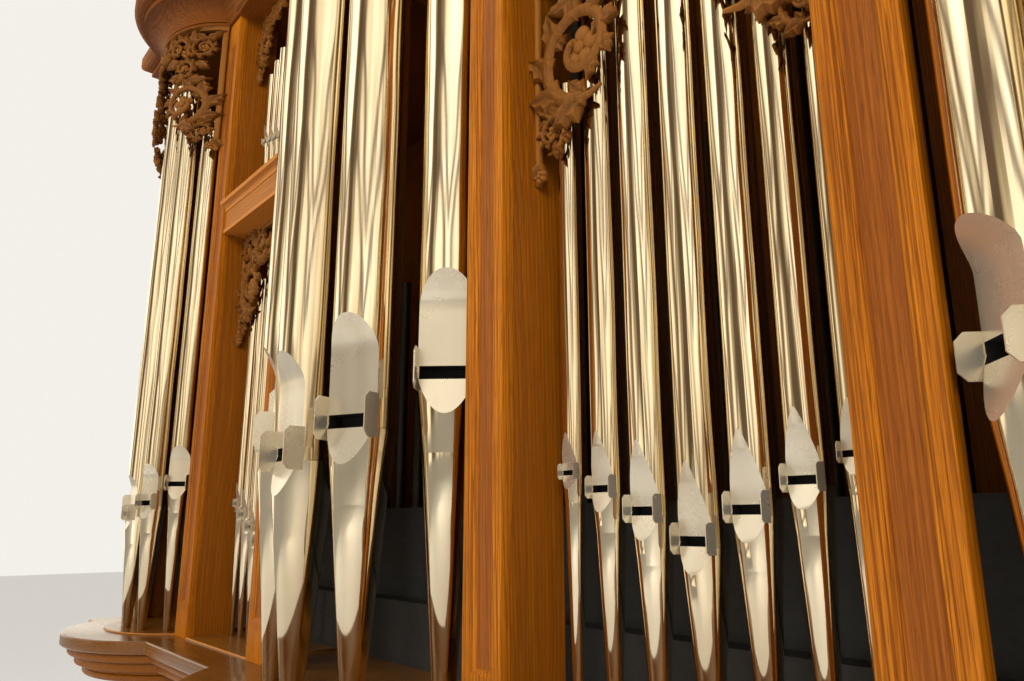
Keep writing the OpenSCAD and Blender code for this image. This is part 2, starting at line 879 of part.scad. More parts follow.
inner_shades();  // shade_inner_right
tower_shade();  // shade_tower_right
flat_shades();  // shade_flat_right
end_shade();  // shade_end_right
mirrored() end_pipes();  // pipes_end_left
mirrored() flat_pipes();  // pipes_flat_left
mirrored() tower_pipes();  // pipes_tower_left
mirrored() inner_flat_pipes();  // pipes_inner_left
centre_pipes();  // pipes_centre
inner_flat_pipes();  // pipes_inner_right
tower_pipes();  // pipes_tower_right
flat_pipes();  // pipes_flat_right
end_pipes();  // pipes_end_right
wind_chest();
inner_pipes();
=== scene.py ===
# %% [markdown]
# # A pipe organ in an oak case
#
# This lesson dresses a measured model of a pipe organ. The model comes as a frame of
# plain solids, and every piece made here sits exactly where its solid sits. One unit is
# one metre. X runs along the front, the front faces minus Y, and Z is up.

import math

import bmesh
import bpy
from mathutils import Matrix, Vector


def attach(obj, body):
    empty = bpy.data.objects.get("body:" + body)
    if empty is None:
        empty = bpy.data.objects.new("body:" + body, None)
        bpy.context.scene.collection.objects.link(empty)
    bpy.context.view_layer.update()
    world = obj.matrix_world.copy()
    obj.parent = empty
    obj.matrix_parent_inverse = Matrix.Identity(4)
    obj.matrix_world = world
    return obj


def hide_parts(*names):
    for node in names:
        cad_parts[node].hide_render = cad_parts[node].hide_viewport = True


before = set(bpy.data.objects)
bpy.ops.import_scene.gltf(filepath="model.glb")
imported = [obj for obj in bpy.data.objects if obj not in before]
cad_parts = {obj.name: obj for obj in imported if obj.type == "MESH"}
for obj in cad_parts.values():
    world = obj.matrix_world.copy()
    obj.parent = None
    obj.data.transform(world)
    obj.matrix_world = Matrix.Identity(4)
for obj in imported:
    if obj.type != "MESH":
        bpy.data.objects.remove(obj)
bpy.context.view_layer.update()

# %% [markdown]
# ## Camera
#
# The photo was taken from close by, standing near the middle of the front and looking
# to the left and a little up. The camera is set first, so that every later piece can be
# judged from the same place. A camera in Blender looks along its own minus Z, so it is
# turned up from the floor by 90 degrees plus the pitch, and then about the upright.

# %% Camera at the photo's place
PHOTO_WIDTH = 1024
FOCAL_PIXELS = 780.0
CAMERA_PLACE = (-0.018, -1.420, 1.661)
CAMERA_YAW = 50.4
CAMERA_PITCH = 13.1

camera_data = bpy.data.cameras.new("photo_camera")
camera_data.sensor_width = 36.0
camera_data.lens = FOCAL_PIXELS / PHOTO_WIDTH * camera_data.sensor_width
camera = bpy.data.objects.new("photo_camera", camera_data)
camera.location = CAMERA_PLACE
camera.rotation_euler = (math.radians(90 + CAMERA_PITCH), 0, math.radians(CAMERA_YAW))
bpy.context.scene.collection.objects.link(camera)
bpy.context.scene.camera = camera
camera_data.clip_start = 0.02
print("camera lens", round(camera_data.lens, 2), "mm")

# %% [markdown]
# ## Sizes
#
# These are the sizes of the measured model, in metres. Each piece reads its place from
# them, so that a piece and its solid stay together.

# %% Sizes shared by the pieces
FRONT, BACK, LOWER = -0.55, 0.55, -0.51
BOARD, POST_W = 0.028, 0.110
SHELF, UNDER, TOE = 1.300, 1.200, 1.306
LOW_Z, INNER_Z, CENTRE_Z, TOWER_Z = 3.540, 3.800, 4.250, 4.600
FLAT_RAIL, INNER_RAIL, RAIL_H = 2.660, 2.910, 0.130
INNER_X, TOWER_X, FLAT_X, END_X, HALF_W = 0.780, 1.645, 2.440, 3.060, 3.430
CENTRE_W, INNER_W, TOWER_W, FLAT_W, END_W = 0.700, 0.640, 0.870, 0.500, 0.520
CENTRE_BOW, TOWER_BOW, END_BOW = 0.185, 0.210, 0.145

# each bay is the place of its middle, its width and its bow; a flat has no bow
RIGHT_BAYS = [(INNER_X, INNER_W, 0), (TOWER_X, TOWER_W, TOWER_BOW)]
RIGHT_BAYS += [(FLAT_X, FLAT_W, 0), (END_X, END_W, END_BOW)]
BAYS = [(0, CENTRE_W, CENTRE_BOW)]
BAYS += [(side * x, width, bow) for side in (-1, 1) for x, width, bow in RIGHT_BAYS]
TOWERS = [bay for bay in BAYS if bay[2]]
NEAR = 1e-4


def arc_radius(width, bow):
    """Radius of the arc through the ends of a chord that stands out by bow."""
    return (width * width / 4 + bow * bow) / (2 * bow)


def arc_heart(width, bow):
    """Y of the middle of a tower's round front."""
    return FRONT - bow + arc_radius(width, bow)


# %% [markdown]
# ## Helpers for modelling by hand
#
# Blender's modelling tools act on what is selected. These helpers deselect everything,
# open one mesh for editing, and pick its points or faces by their place, as a hand with
# the mouse would.

# %% Selecting and editing
def start_clean():
    """Leaves edit mode and deselects all objects."""
    if bpy.context.mode != "OBJECT":
        bpy.ops.object.mode_set(mode="OBJECT")
    bpy.ops.object.select_all(action="DESELECT")


def only(*objects):
    """Selects these objects alone and makes the first one active."""
    start_clean()
    for piece in objects:
        piece.select_set(True)
    bpy.context.view_layer.objects.active = objects[0]


def edit(piece):
    """Opens one mesh for editing, with its points selectable."""
    only(piece)
    bpy.ops.object.mode_set(mode="EDIT")
    bpy.ops.mesh.select_mode(type="VERT")


def edit_all(piece):
    """Opens one mesh for editing with all of it selected."""
    edit(piece)
    bpy.ops.mesh.select_all(action="SELECT")


def pick(kind, test):
    """In edit mode, selects the points, edges or faces that pass a test."""
    bpy.ops.mesh.select_mode(type=kind)
    bpy.ops.mesh.select_all(action="DESELECT")
    mesh = bmesh.from_edit_mesh(bpy.context.edit_object.data)
    items = {"VERT": mesh.verts, "EDGE": mesh.edges, "FACE": mesh.faces}[kind]
    for item in items:
        if test(item):
            item.select_set(True)
    mesh.select_flush_mode()
    bmesh.update_edit_mesh(bpy.context.edit_object.data)


def done():
    """Leaves edit mode."""
    bpy.ops.object.mode_set(mode="OBJECT")


def settle(piece):
    """Puts the piece's place, turn and size into its mesh."""
    only(piece)
    bpy.ops.object.transform_apply(location=True, rotation=True, scale=True)


def faces_out(piece):
    """Merges doubled points and turns all faces outwards."""
    edit_all(piece)
    bpy.ops.mesh.remove_doubles(threshold=1e-5)
    bpy.ops.mesh.normals_make_consistent(inside=False)
    done()


# faces that meet at less than these angles are shaded as one
FRAMED, PIPE_EDGE, MOULDED, EASED, CARVED = 20, 24, 30, 35, 50


def smooth(piece, degrees):
    """Smooth shading, with creases at the sharper edges."""
    only(piece)
    bpy.ops.object.shade_smooth_by_angle(angle=math.radians(degrees))


def join(name, pieces):
    """Joins several meshes into one."""
    only(*pieces)
    bpy.ops.object.join()
    bpy.context.object.name = name
    return bpy.context.object


def copy_of(piece, name):
    """A copy with a mesh of its own."""
    only(piece)
    bpy.ops.object.duplicate(linked=False)
    bpy.context.object.name = name
    return bpy.context.object


def flipped(piece):
    """Turns a piece into its mirror image across the organ's middle."""
    piece.scale = (-1, 1, 1)
    settle(piece)
    edit_all(piece)
    bpy.ops.mesh.normals_make_consistent(inside=False)
    done()
    return piece


def cut(piece, tool, how="DIFFERENCE"):
    """Cuts one solid with another, joins them or keeps what they share."""
    only(piece)
    modifier = piece.modifiers.new("cut", "BOOLEAN")
    modifier.operation = how
    modifier.solver = "EXACT"
    modifier.object = tool
    bpy.ops.object.modifier_apply(modifier=modifier.name)
    bpy.data.objects.remove(tool, do_unlink=True)


def cut_off(piece, place, way):
    """Cuts off what lies beyond a plane, on the side that it faces, and closes the cut."""
    edit_all(piece)
    bpy.ops.mesh.bisect(plane_co=place, plane_no=way, use_fill=True, clear_outer=True)
    done()


# %% Drawing an outline by extruding a point
def draw(name, points):
    """Extrudes one point along a list of places, and fills the closed outline."""
    start_clean()
    bpy.ops.mesh.primitive_plane_add(size=0.01)
    piece = bpy.context.object
    piece.name = name
    edit_all(piece)
    bpy.ops.mesh.merge(type="CENTER")
    places = [Vector(point) for point in points]
    bpy.ops.transform.translate(value=places[0])
    for here, there in zip(places, places[1:]):
        bpy.ops.mesh.extrude_vertices_move(TRANSFORM_OT_translate={"value": there - here})
    bpy.ops.mesh.select_all(action="SELECT")
    bpy.ops.mesh.edge_face_add()
    done()
    return piece


def bar(name, points, along):
    """A straight bar: an outline extruded along a direction."""
    piece = draw(name, points)
    edit_all(piece)
    bpy.ops.mesh.extrude_region_move(TRANSFORM_OT_translate={"value": Vector(along)})
    done()
    faces_out(piece)
    return piece


def turned(name, profile, heart, steps):
    """A round piece: an outline of radius and height, spun about an upright axis."""
    piece = draw(name, [(radius, 0, up) for radius, up in profile])
    edit_all(piece)
    bpy.ops.mesh.delete(type="ONLY_FACE")
    bpy.ops.mesh.select_all(action="SELECT")
    bpy.ops.mesh.spin(steps=steps, angle=math.tau, center=(0, 0, 0), axis=(0, 0, 1))
    done()
    faces_out(piece)
    piece.location = heart
    settle(piece)
    return piece


def box_piece(name, low, high, round_edge=0.0, segments=2):
    """A board between two corners, with its edges eased."""
    start_clean()
    low, high = Vector(low), Vector(high)
    bpy.ops.mesh.primitive_cube_add(size=1, location=(low + high) / 2)
    piece = bpy.context.object
    piece.name = name
    piece.scale = high - low
    settle(piece)
    if round_edge:
        edit_all(piece)
        bpy.ops.mesh.bevel(offset=round_edge, segments=segments, affect="EDGES")
        done()
    return piece


# %% Standing in for the solids of the frame
def stand_for(piece, name):
    """Lets a piece take the place of the solid with its name."""
    piece.name = name
    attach(piece, "root")
    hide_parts(name)
    print(name, "has", len(piece.data.polygons), "faces")


def both_sides(name, piece):
    """Makes the left twin of a right piece, and lets both stand for their solids."""
    twin = flipped(copy_of(piece, name + "_left"))
    stand_for(piece, name + "_right")
    stand_for(twin, name + "_left")


print("helpers ready")

# %% [markdown]
# ## Finishes
#
# The case is oak, oiled to a warm gold; the boards that line the bays are a deeper colour. Grain
# could come from an image, but here it is worked out from noise, so it has no seams and
# stays sharp. One node group, oak_grain, makes growth rings, fibres and pores; each wood
# material places it with its own colours and its own direction of grain.

# %% A small helper that writes node trees
def feed(tree, made, values):
    """Fills the inputs of a node with values, or links them to other nodes."""
    for key, value in values.items():
        if isinstance(value, bpy.types.NodeSocket):
            tree.links.new(value, made.inputs[key])
        else:
            made.inputs[key].default_value = value


def node(tree, kind, values=None, **settings):
    """Adds one node, sets its options, and feeds its inputs."""
    made = tree.nodes.new(kind)
    for key, value in settings.items():
        setattr(made, key, value)
    feed(tree, made, values or {})
    return made


def ramp(tree, value, stops):
    """A colour ramp with these places and colours."""
    made = node(tree, "ShaderNodeValToRGB", {0: value})
    points = made.color_ramp.elements
    while len(points) < len(stops):
        points.new(0.5)
    for point, (place, colour) in zip(points, stops):
        point.position = place
        point.color = (*colour, 1)
    return made.outputs["Color"]


def grey(value):
    """A stop of a ramp that is used as a mask."""
    return (value, value, value)


def times_colour(colour, share):
    """A colour made darker or brighter, with full cover."""
    return (*[min(1, c * share) for c in colour], 1)


def math_node(tree, operation, a, b):
    """One sum on two values, each a number or another node's output."""
    return node(tree, "ShaderNodeMath", {0: a, 1: b}, operation=operation).outputs[0]


def times(tree, a, b):
    return math_node(tree, "MULTIPLY", a, b)


def plus(tree, a, b):
    return math_node(tree, "ADD", a, b)


def stretch(tree, place, scale):
    """A place scaled along X, Y and Z: small numbers draw a texture out."""
    return node(tree, "ShaderNodeMapping", {"Vector": place, "Scale": scale}).outputs[0]


def noise(tree, place, scale, detail, rough=0.5):
    """Clouds of a size that gets smaller as the scale grows."""
    values = {"Vector": place, "Scale": scale, "Detail": detail, "Roughness": rough}
    return node(tree, "ShaderNodeTexNoise", values).outputs["Fac"]


def bumped(tree, height, strength, distance):
    """A normal that a height tilts."""
    values = {"Height": height, "Strength": strength, "Distance": distance}
    return node(tree, "ShaderNodeBump", values).outputs[0]


def mix_colour(tree, factor, a, b, how="MIX"):
    """Mixes two colours; only the sockets for colours are in use then."""
    made = node(tree, "ShaderNodeMix", data_type="RGBA", blend_type=how)
    sockets = [s for s in made.inputs if s.enabled]
    for socket, value in zip(sockets, (factor, a, b)):
        if isinstance(value, bpy.types.NodeSocket):
            tree.links.new(value, socket)
        else:
            socket.default_value = value
    return [s for s in made.outputs if s.enabled][0]


def new_group(name, inputs, outputs):
    """An empty node group with named inputs and outputs."""
    group = bpy.data.node_groups.new(name, "ShaderNodeTree")
    for title, kind, default in inputs:
        socket = group.interface.new_socket(title, in_out="INPUT", socket_type=kind)
        if default is not None:
            socket.default_value = default
    for title, kind in outputs:
        group.interface.new_socket(title, in_out="OUTPUT", socket_type=kind)
    return group, group.nodes.new("NodeGroupInput"), group.nodes.new("NodeGroupOutput")


# %% The oak grain, built once
def make_oak_grain():
    """Grain along Z of the vector that goes in; a Mapping node turns it for each board."""
    group, gets, gives = new_group(
        "oak_grain",
        [("Vector", "NodeSocketVector", None), ("Pale", "NodeSocketColor", (0.55, 0.25, 0.07, 1)),
         ("Deep", "NodeSocketColor", (0.3, 0.11, 0.025, 1)), ("Figure", "NodeSocketFloat", 0.5),
         ("Polish", "NodeSocketFloat", 0.42), ("Wander", "NodeSocketFloat", 0.05)],
        [("Color", "NodeSocketColor"), ("Roughness", "NodeSocketFloat"), ("Height", "NodeSocketFloat")])
    where = gets.outputs["Vector"]
    slow = stretch(group, where, (1, 1, 0.16))
    bend = node(group, "ShaderNodeTexNoise", {"Vector": slow, "Scale": 2.4, "Detail": 2.0, "Roughness": 0.45})
    pull = node(group, "ShaderNodeVectorMath", {0: bend.outputs["Color"], 1: (0.5, 0.5, 0.5)},
                operation="SUBTRACT").outputs[0]
    pull = node(group, "ShaderNodeVectorMath", {0: pull, 3: gets.outputs["Wander"]},
                operation="SCALE").outputs[0]
    bent = node(group, "ShaderNodeVectorMath", {0: stretch(group, where, (1, 1, 0.02)), 1: pull},
                operation="ADD").outputs[0]
    ring_look = {"Vector": bent, "Scale": 62.0, "Distortion": 2.6, "Detail": 2.0}
    ring_look.update({"Detail Scale": 1.6, "Detail Roughness": 0.6})
    rings = node(group, "ShaderNodeTexWave", ring_look, wave_type="BANDS", bands_direction="DIAGONAL",
                 wave_profile="SAW").outputs["Fac"]
    fibre = noise(group, stretch(group, where, (1, 1, 0.012)), 300.0, 4.0, 0.66)
    pores = noise(group, stretch(group, where, (1, 1, 0.022)), 900.0, 1.0)
    cloud = noise(group, slow, 1.7, 3.0)
    # each ring is pale early wood that deepens and ends in a thin dark line
    ring_stops = [(0.0, grey(0.12)), (0.72, grey(0.36)), (0.94, grey(0.95)), (1.0, grey(0.3))]
    ring_part = times(group, ramp(group, rings, ring_stops), gets.outputs["Figure"])
    fibre_part = times(group, ramp(group, fibre, [(0.38, grey(0)), (0.62, grey(1))]), 0.58)
    cloud_part = times(group, ramp(group, cloud, [(0.36, grey(0)), (0.66, grey(1))]), 0.34)
    total = plus(group, plus(group, ring_part, fibre_part), cloud_part)
    wood = mix_colour(group, total, gets.outputs["Pale"], gets.outputs["Deep"])
    pore_mask = ramp(group, pores, [(0.56, grey(0)), (0.70, grey(1))])
    dark = mix_colour(group, 1.0, gets.outputs["Deep"], (0.42, 0.36, 0.3, 1), "MULTIPLY")
    wood = mix_colour(group, times(group, pore_mask, 0.62), wood, dark)
    rough = plus(group, gets.outputs["Polish"], times(group, total, 0.12))
    height = math_node(group, "SUBTRACT", times(group, fibre, 0.5), times(group, pore_mask, 0.6))
    feed(group, gives, {"Color": wood, "Roughness": rough, "Height": height})
    return group


oak_grain = make_oak_grain()
print("oak_grain has", len(oak_grain.nodes), "nodes")

# %% [markdown]
# ## Dust and tarnish
#
# Both the wood and the metal have soft clouds where hands, dust and air have been. The
# group age_cloud gives one slow mask and one fine one, and each material uses them in its
# own way.

# %% Age, built once
def make_age_cloud():
    """A slow mask, whose clouds take the size that goes in, and a fine one."""
    group, gets, gives = new_group(
        "age_cloud", [("Vector", "NodeSocketVector", None), ("Size", "NodeSocketFloat", 2.0)],
        [("Slow", "NodeSocketFloat"), ("Fine", "NodeSocketFloat")])
    where = gets.outputs["Vector"]
    slow = noise(group, where, gets.outputs["Size"], 4.0, 0.6)
    fine = noise(group, where, 46.0, 5.0, 0.65)
    feed(group, gives, {"Slow": ramp(group, slow, [(0.35, grey(0)), (0.68, grey(1))]),
                        "Fine": ramp(group, fine, [(0.4, grey(0)), (0.72, grey(1))])})
    return group


age_cloud = make_age_cloud()
print("age_cloud has", len(age_cloud.nodes), "nodes")

# %% Starting a material, and dressing a piece in it
MATERIALS = {}


def start_material(name, shown_colour):
    """A new material with its shader, and the object coordinates that it reads."""
    material = bpy.data.materials.new(name)
    material.use_nodes = True
    material.diffuse_color = (*shown_colour, 1)
    tree = material.node_tree
    place = node(tree, "ShaderNodeTexCoord").outputs["Object"]
    MATERIALS[name] = material
    return tree, tree.nodes["Principled BSDF"], place


def dress(piece, *finishes):
    """Gives a piece its finishes, one slot each."""
    for name in finishes:
        piece.data.materials.append(MATERIALS[name])


def dress_picked(index):
    """In edit mode, gives the picked faces the finish of one slot."""
    bpy.context.object.active_material_index = index
    bpy.ops.object.material_slot_assign()


# %% The woods
GRAIN_TURN = {"up": (0, 0, 0), "along": (0, math.pi / 2, 0)}


def wood(name, pale, deep, grain, figure=0.5, polish=0.42, bump=0.25, coat=0.0, carved=False, wander=0.05):
    """One kind of oak, whose grain runs up or along the front."""
    tree, shader, place = start_material(name, pale)
    grain_place = node(tree, "ShaderNodeMapping", {"Vector": place, "Rotation": GRAIN_TURN[grain]})
    look = {"Vector": grain_place.outputs[0], "Pale": (*pale, 1), "Deep": (*deep, 1)}
    look.update({"Figure": figure, "Polish": polish, "Wander": wander})
    grown = node(tree, "ShaderNodeGroup", look, node_tree=oak_grain)
    aged = node(tree, "ShaderNodeGroup", {"Vector": place}, node_tree=age_cloud)
    worn = times(tree, aged.outputs["Slow"], 0.22)
    colour = mix_colour(tree, worn, grown.outputs["Color"], times_colour(deep, 0.72))
    # a carving's hollows are painted dark, a painted shade in its crevices, and its sharp edges are painted
    # paler, as wear and as a painted highlight
    shape = node(tree, "ShaderNodeNewGeometry").outputs["Pointiness"]
    if carved:
        painted_hollow_shade = ramp(tree, shape, [(0.40, grey(1)), (0.50, grey(0))])
        edge_wear_and_highlight = ramp(tree, shape, [(0.52, grey(0)), (0.62, grey(0.7))])
        colour = mix_colour(tree, painted_hollow_shade, colour, times_colour(deep, 0.16))
        colour = mix_colour(tree, edge_wear_and_highlight, colour, times_colour(pale, 1.5))
    else:
        # plain wood is painted paler on its sharp edges, as wear and as a painted highlight
        edge_wear_and_highlight = ramp(tree, shape, [(0.53, grey(0)), (0.60, grey(0.45))])
        colour = mix_colour(tree, edge_wear_and_highlight, colour, times_colour(pale, 1.25))
    relief = bumped(tree, grown.outputs["Height"], bump, 0.0008)
    feed(tree, shader, {"Base Color": colour, "Roughness": grown.outputs["Roughness"], "Normal": relief,
                        "Specular IOR Level": 0.25, "Coat Weight": coat, "Coat Roughness": 0.16})


PALE_OAK, GOLD_OAK, DEEP_OAK = (0.68, 0.225, 0.006), (0.36, 0.108, 0.008), (0.19, 0.048, 0.003)
wood("oak_post", PALE_OAK, (0.20, 0.050, 0.002), "up", 0.62, 0.5)
wood("oak_panel", GOLD_OAK, DEEP_OAK, "up", 0.8)
wood("oak_lining", (0.40, 0.122, 0.004), (0.105, 0.025, 0.001), "up", 1.1, 0.5, wander=0.22)
wood("oak_rail", (0.50, 0.185, 0.024), (0.29, 0.092, 0.009), "along", 0.55)
wood("oak_crown", (0.27, 0.078, 0.004), (0.115, 0.029, 0.001), "along", 0.6, 0.5)
wood("oak_wall", GOLD_OAK, DEEP_OAK, "up", 0.7, wander=0.10)
wood("oak_shelf", (0.255, 0.098, 0.014), (0.105, 0.034, 0.004), "along", 0.7, 0.24, 0.15, 0.5)
wood("oak_shelf_step", (0.30, 0.096, 0.004), (0.14, 0.040, 0.001), "along", 0.5, 0.40, 0.18, 0.05)
wood("oak_carved", (0.235, 0.088, 0.014), (0.085, 0.028, 0.004), "up", 0.4, 0.46, 0.3, 0.0, True)
print("woods:", sorted(MATERIALS))

# %% [markdown]
# ## Polished tin
#
# Display pipes are rolled from sheets of tin and lead that are planed and polished by
# hand, so the surface is nearly a mirror but never quite flat. A slow bump, stretched
# along the pipe, makes the reflections waver in long streaks; faint tarnish warms it.
# Long darker streaks in its colour are painted reflections, which also read as tarnish.

# %% Tin, dark metal and the dark inside
def tin(name, colour, tarnish_and_streak, polish, wave, metal=1.0):
    """A bright metal: its polish is the roughness of its best parts."""
    tree, shader, place = start_material(name, colour)
    # long darker runs towards the tarnish colour: painted reflection streaks that also read as tarnish
    streak = noise(tree, stretch(tree, place, (1, 1, 0.07)), 13.0, 2.0)
    tarnish_and_reflection_streaks = ramp(tree, streak, [(0.42, grey(0)), (0.66, grey(1))])
    aged = node(tree, "ShaderNodeGroup", {"Vector": place, "Size": 3.4}, node_tree=age_cloud)
    tint = mix_colour(tree, times(tree, tarnish_and_reflection_streaks, 0.50), (*colour, 1), (*tarnish_and_streak, 1))
    tint = mix_colour(tree, times(tree, aged.outputs["Slow"], 0.22), tint, times_colour(tarnish_and_streak, 0.8))
    dull = plus(tree, times(tree, aged.outputs["Fine"], 0.01), times(tree, aged.outputs["Slow"], 0.05))
    slow = noise(tree, stretch(tree, place, (1, 1, 0.30)), 8.0, 1.0)
    feed(tree, shader, {"Base Color": tint, "Metallic": metal, "Roughness": plus(tree, dull, polish),
                        "Normal": bumped(tree, slow, wave, 0.020)})


tin("tin", (0.86, 0.765, 0.575), (0.52, 0.405, 0.245), 0.055, 0.45)
tin("tin_leaf", (0.72, 0.66, 0.53), (0.54, 0.45, 0.31), 0.25, 0.2, 0.7)
tin("zinc", (0.115, 0.110, 0.100), (0.055, 0.050, 0.045), 0.42, 0.2)


def dark(name, colour, rough):
    """A brushed dark paint under dust, which also serves as painted shade."""
    tree, shader, place = start_material(name, colour)
    aged = node(tree, "ShaderNodeGroup", {"Vector": place}, node_tree=age_cloud)
    strokes = noise(tree, stretch(tree, place, (0.05, 1, 1)), 160.0, 3.0)
    dusty = mix_colour(tree, times(tree, aged.outputs["Fine"], 0.35), (*colour, 1), times_colour(colour, 1.8))
    feed(tree, shader, {"Base Color": dusty, "Roughness": plus(tree, times(tree, strokes, 0.2), rough),
                        "Normal": bumped(tree, strokes, 0.2, 0.001)})


# painted_board is dark paint, made near black so that it also paints the shade inside the case
dark("painted_board", (0.030, 0.031, 0.029), 0.5)
# mouth_dark is painted shade for the inside of the slots and open tops of the solid pipes
dark("mouth_dark", (0.004, 0.004, 0.004), 0.7)
print("finishes:", len(MATERIALS))

# %% [markdown]
# ## Display pipes
#
# A display pipe is a tube of polished tin over a conical foot. At the top of the foot is
# the mouth: a dark slot between a flat upper lip, the leaf, and a flat lower lip, with a
# thin ear on each side. A pipe could be a bent sheet with a seam behind. Here it is a
# closed tube whose mouth is cut with three shaped tools, because the front is all that
# shows. Three pipes are modelled with a radius of 1 and the mouth at height 0: one for the
# large and end towers, one for the flats and one for the centre. Every real pipe is a copy
# of one of them that is scaled to its radius, and whose two ends are pulled out to its
# own length, so that the mouth keeps its shape.
#
# The leaf's outline is its half width at each height. Where the tube is cut to the depth
# that gives this width, the outline appears by itself, so the cutter's curve is worked
# out from the width: straight sides under a dome in the towers, a pointed bay leaf in
# the flats.

# %% The tools that cut the lips
MOUTH_HALF = 0.86
LIP = -math.sqrt(1 - MOUTH_HALF**2)
SLOT_LOW, SLOT_HIGH, SLOT_HALF = 0.02, 0.42, 0.82
LOWER_LIP, TUBE_TOP, FOOT_END = 1.42, 5.0, 2.4
FOOT_LENGTH, UPPER_END = FOOT_END + 0.088, 3.8
EAR_THICK, EAR_CLIP, EAR_OFF = 0.04, 0.16, 0.012
AHEAD, INSIDE = -1.6, 0.1
LEAF_STEPS, SHOULDER, LEAF_POINT = 14, 0.60, 1.7


def domed(share):
    """Half width of a tower pipe's leaf, with straight sides under a dome."""
    if share < SHOULDER:
        return MOUTH_HALF
    return MOUTH_HALF * math.sqrt(max(0, 1 - ((share - SHOULDER) / (1 - SHOULDER))**2))


def pointed(share):
    """Half width of a flat's leaf, which narrows to a point."""
    return MOUTH_HALF * (1 - share**LEAF_POINT)


def lip_tools(leaf, leaf_top):
    """The leaf, the lower lip and the slot, as solids to cut away."""
    middle = (SLOT_LOW + SLOT_HIGH) / 2
    curve = []
    for step in range(LEAF_STEPS + 1):
        share = step / LEAF_STEPS
        half = max(0.0, leaf(share))
        depth = -math.sqrt(1 - half * half) - 0.004 * share
        curve.append((0, depth, SLOT_HIGH + (leaf_top - SLOT_HIGH) * share))
    upper = [(0, AHEAD, middle), (0, LIP, middle)] + curve + [(0, AHEAD, leaf_top)]
    reach = 1.6
    lower = [(0, AHEAD, middle), (0, LIP + 0.02, middle),
             (0, LIP - (1 + LIP) * reach, -LOWER_LIP * reach), (0, AHEAD, -LOWER_LIP * reach)]
    slot = [(0, AHEAD, SLOT_LOW), (0, INSIDE, SLOT_LOW), (0, INSIDE, SLOT_HIGH), (0, AHEAD, SLOT_HIGH)]
    tools = []
    for outline, half in ((upper, 1.2), (lower, 1.2), (slot, SLOT_HALF)):
        tool = bar("lip_tool", outline, (2 * half, 0, 0))
        tool.location.x = -half
        settle(tool)
        tools.append(tool)
    return tools


# %% Three pipes of radius 1
def plain_tube(segments, taper):
    """A tube over the upper part of its foot, with a fine groove at the seam."""
    start_clean()
    bpy.ops.mesh.primitive_cylinder_add(
        vertices=segments, radius=1, depth=TUBE_TOP, location=(0, 0, TUBE_TOP / 2))
    pipe = bpy.context.object
    settle(pipe)
    edit(pipe)
    pick("FACE", lambda face: face.normal.z < -0.9)
    # how far down and to which radius: the groove, the cone and its tip
    rings = ((0.014, 0.982), (0.014, 1.0), (FOOT_END - 0.3, 1 - FOOT_END * taper), (0.3, 0.30), (0.06, 0.24))
    for drop, radius in rings:
        bpy.ops.mesh.extrude_region_move(TRANSFORM_OT_translate={"value": (0, 0, -drop)})
        now = max(v.co.xy.length for v in bmesh.from_edit_mesh(pipe.data).verts if v.select)
        bpy.ops.transform.resize(value=(radius / now, radius / now, 1), center_override=(0, 0, 0))
    pick("FACE", lambda face: face.normal.z > 0.9)
    bpy.ops.mesh.inset(thickness=0.03)
    bpy.ops.mesh.extrude_region_move(TRANSFORM_OT_translate={"value": (0, 0, -0.6)})
    done()
    return pipe


def pattern_pipe(name, segments, taper, leaf, leaf_top, ear_low=-0.30, ear_high=0.95, ear_out=1.08):
    """A tube with its lips, its slot and its ears."""
    pipe = plain_tube(segments, taper)
    dress(pipe, "tin", "tin_leaf", "mouth_dark")
    for tool in lip_tools(leaf, leaf_top):
        cut(pipe, tool)

    def polished(face):
        """The flats of the leaf and of the lower lip were polished by themselves."""
        middle = face.calc_center_median()
        flat = face.normal.y < -0.6 and abs(middle.x) < 0.4 and face.calc_area() > 0.05
        return flat and (0.4 < middle.z < leaf_top or -LOWER_LIP < middle.z < 0)

    # the faces picked here are painted near black, a painted shade for the inside of a hollow pipe
    def unlit(face):
        """The inside of the slot, and the floor of the open top."""
        middle = face.calc_center_median()
        in_slot = SLOT_LOW - 0.01 < middle.z < SLOT_HIGH + 0.01 and middle.y > LIP + 0.06
        return in_slot or (face.normal.z > 0.9 and middle.z > 3.5 and middle.xy.length < 0.1)

    edit(pipe)
    for index, test in ((1, polished), (2, unlit)):
        pick("FACE", test)
        dress_picked(index)
    done()
    ears = []
    for side in (-1, 1):
        # a thin plate whose outer corners are clipped
        outline = [(LIP + 0.05, ear_low), (EAR_CLIP - ear_out, ear_low), (-ear_out, ear_low + EAR_CLIP),
                   (-ear_out, ear_high - EAR_CLIP), (EAR_CLIP - ear_out, ear_high), (LIP + 0.05, ear_high)]
        ear = bar("ear", [(0, y, z) for y, z in outline], (EAR_THICK, 0, 0))
        ear.location.x = side * (MOUTH_HALF + EAR_OFF) - EAR_THICK / 2
        settle(ear)
        dress(ear, "tin_leaf")
        ears.append(ear)
    pipe = join(name, [pipe] + ears)
    smooth(pipe, PIPE_EDGE)
    return pipe


tower_pattern = pattern_pipe("tower_pattern", 96, 0.095, domed, 3.3)
flat_pattern = pattern_pipe("flat_pattern", 64, 0.080, pointed, 3.6)
centre_pattern = pattern_pipe("centre_pattern", 96, 0.095, domed, 2.4, -0.25, 0.62, 0.98)
print("pattern pipes:", len(tower_pattern.data.polygons), len(flat_pattern.data.polygons), "faces")

# %% [markdown]
# ## Rows and rings of pipes
#
# In a flat the pipes stand in a straight row and grow thinner and shorter towards the
# sides, while their mouths climb. In a tower five pipes stand on an arc, the thickest in
# the middle. Both places follow from the radii and the clear width of the bay.

# %% Placing copies
ROW_SET, ROW_ROOM, RING_BACK = 0.105, 0.032, 0.030
CENTRE_ROOM, TOWER_ROOM = 0.006, 0.020


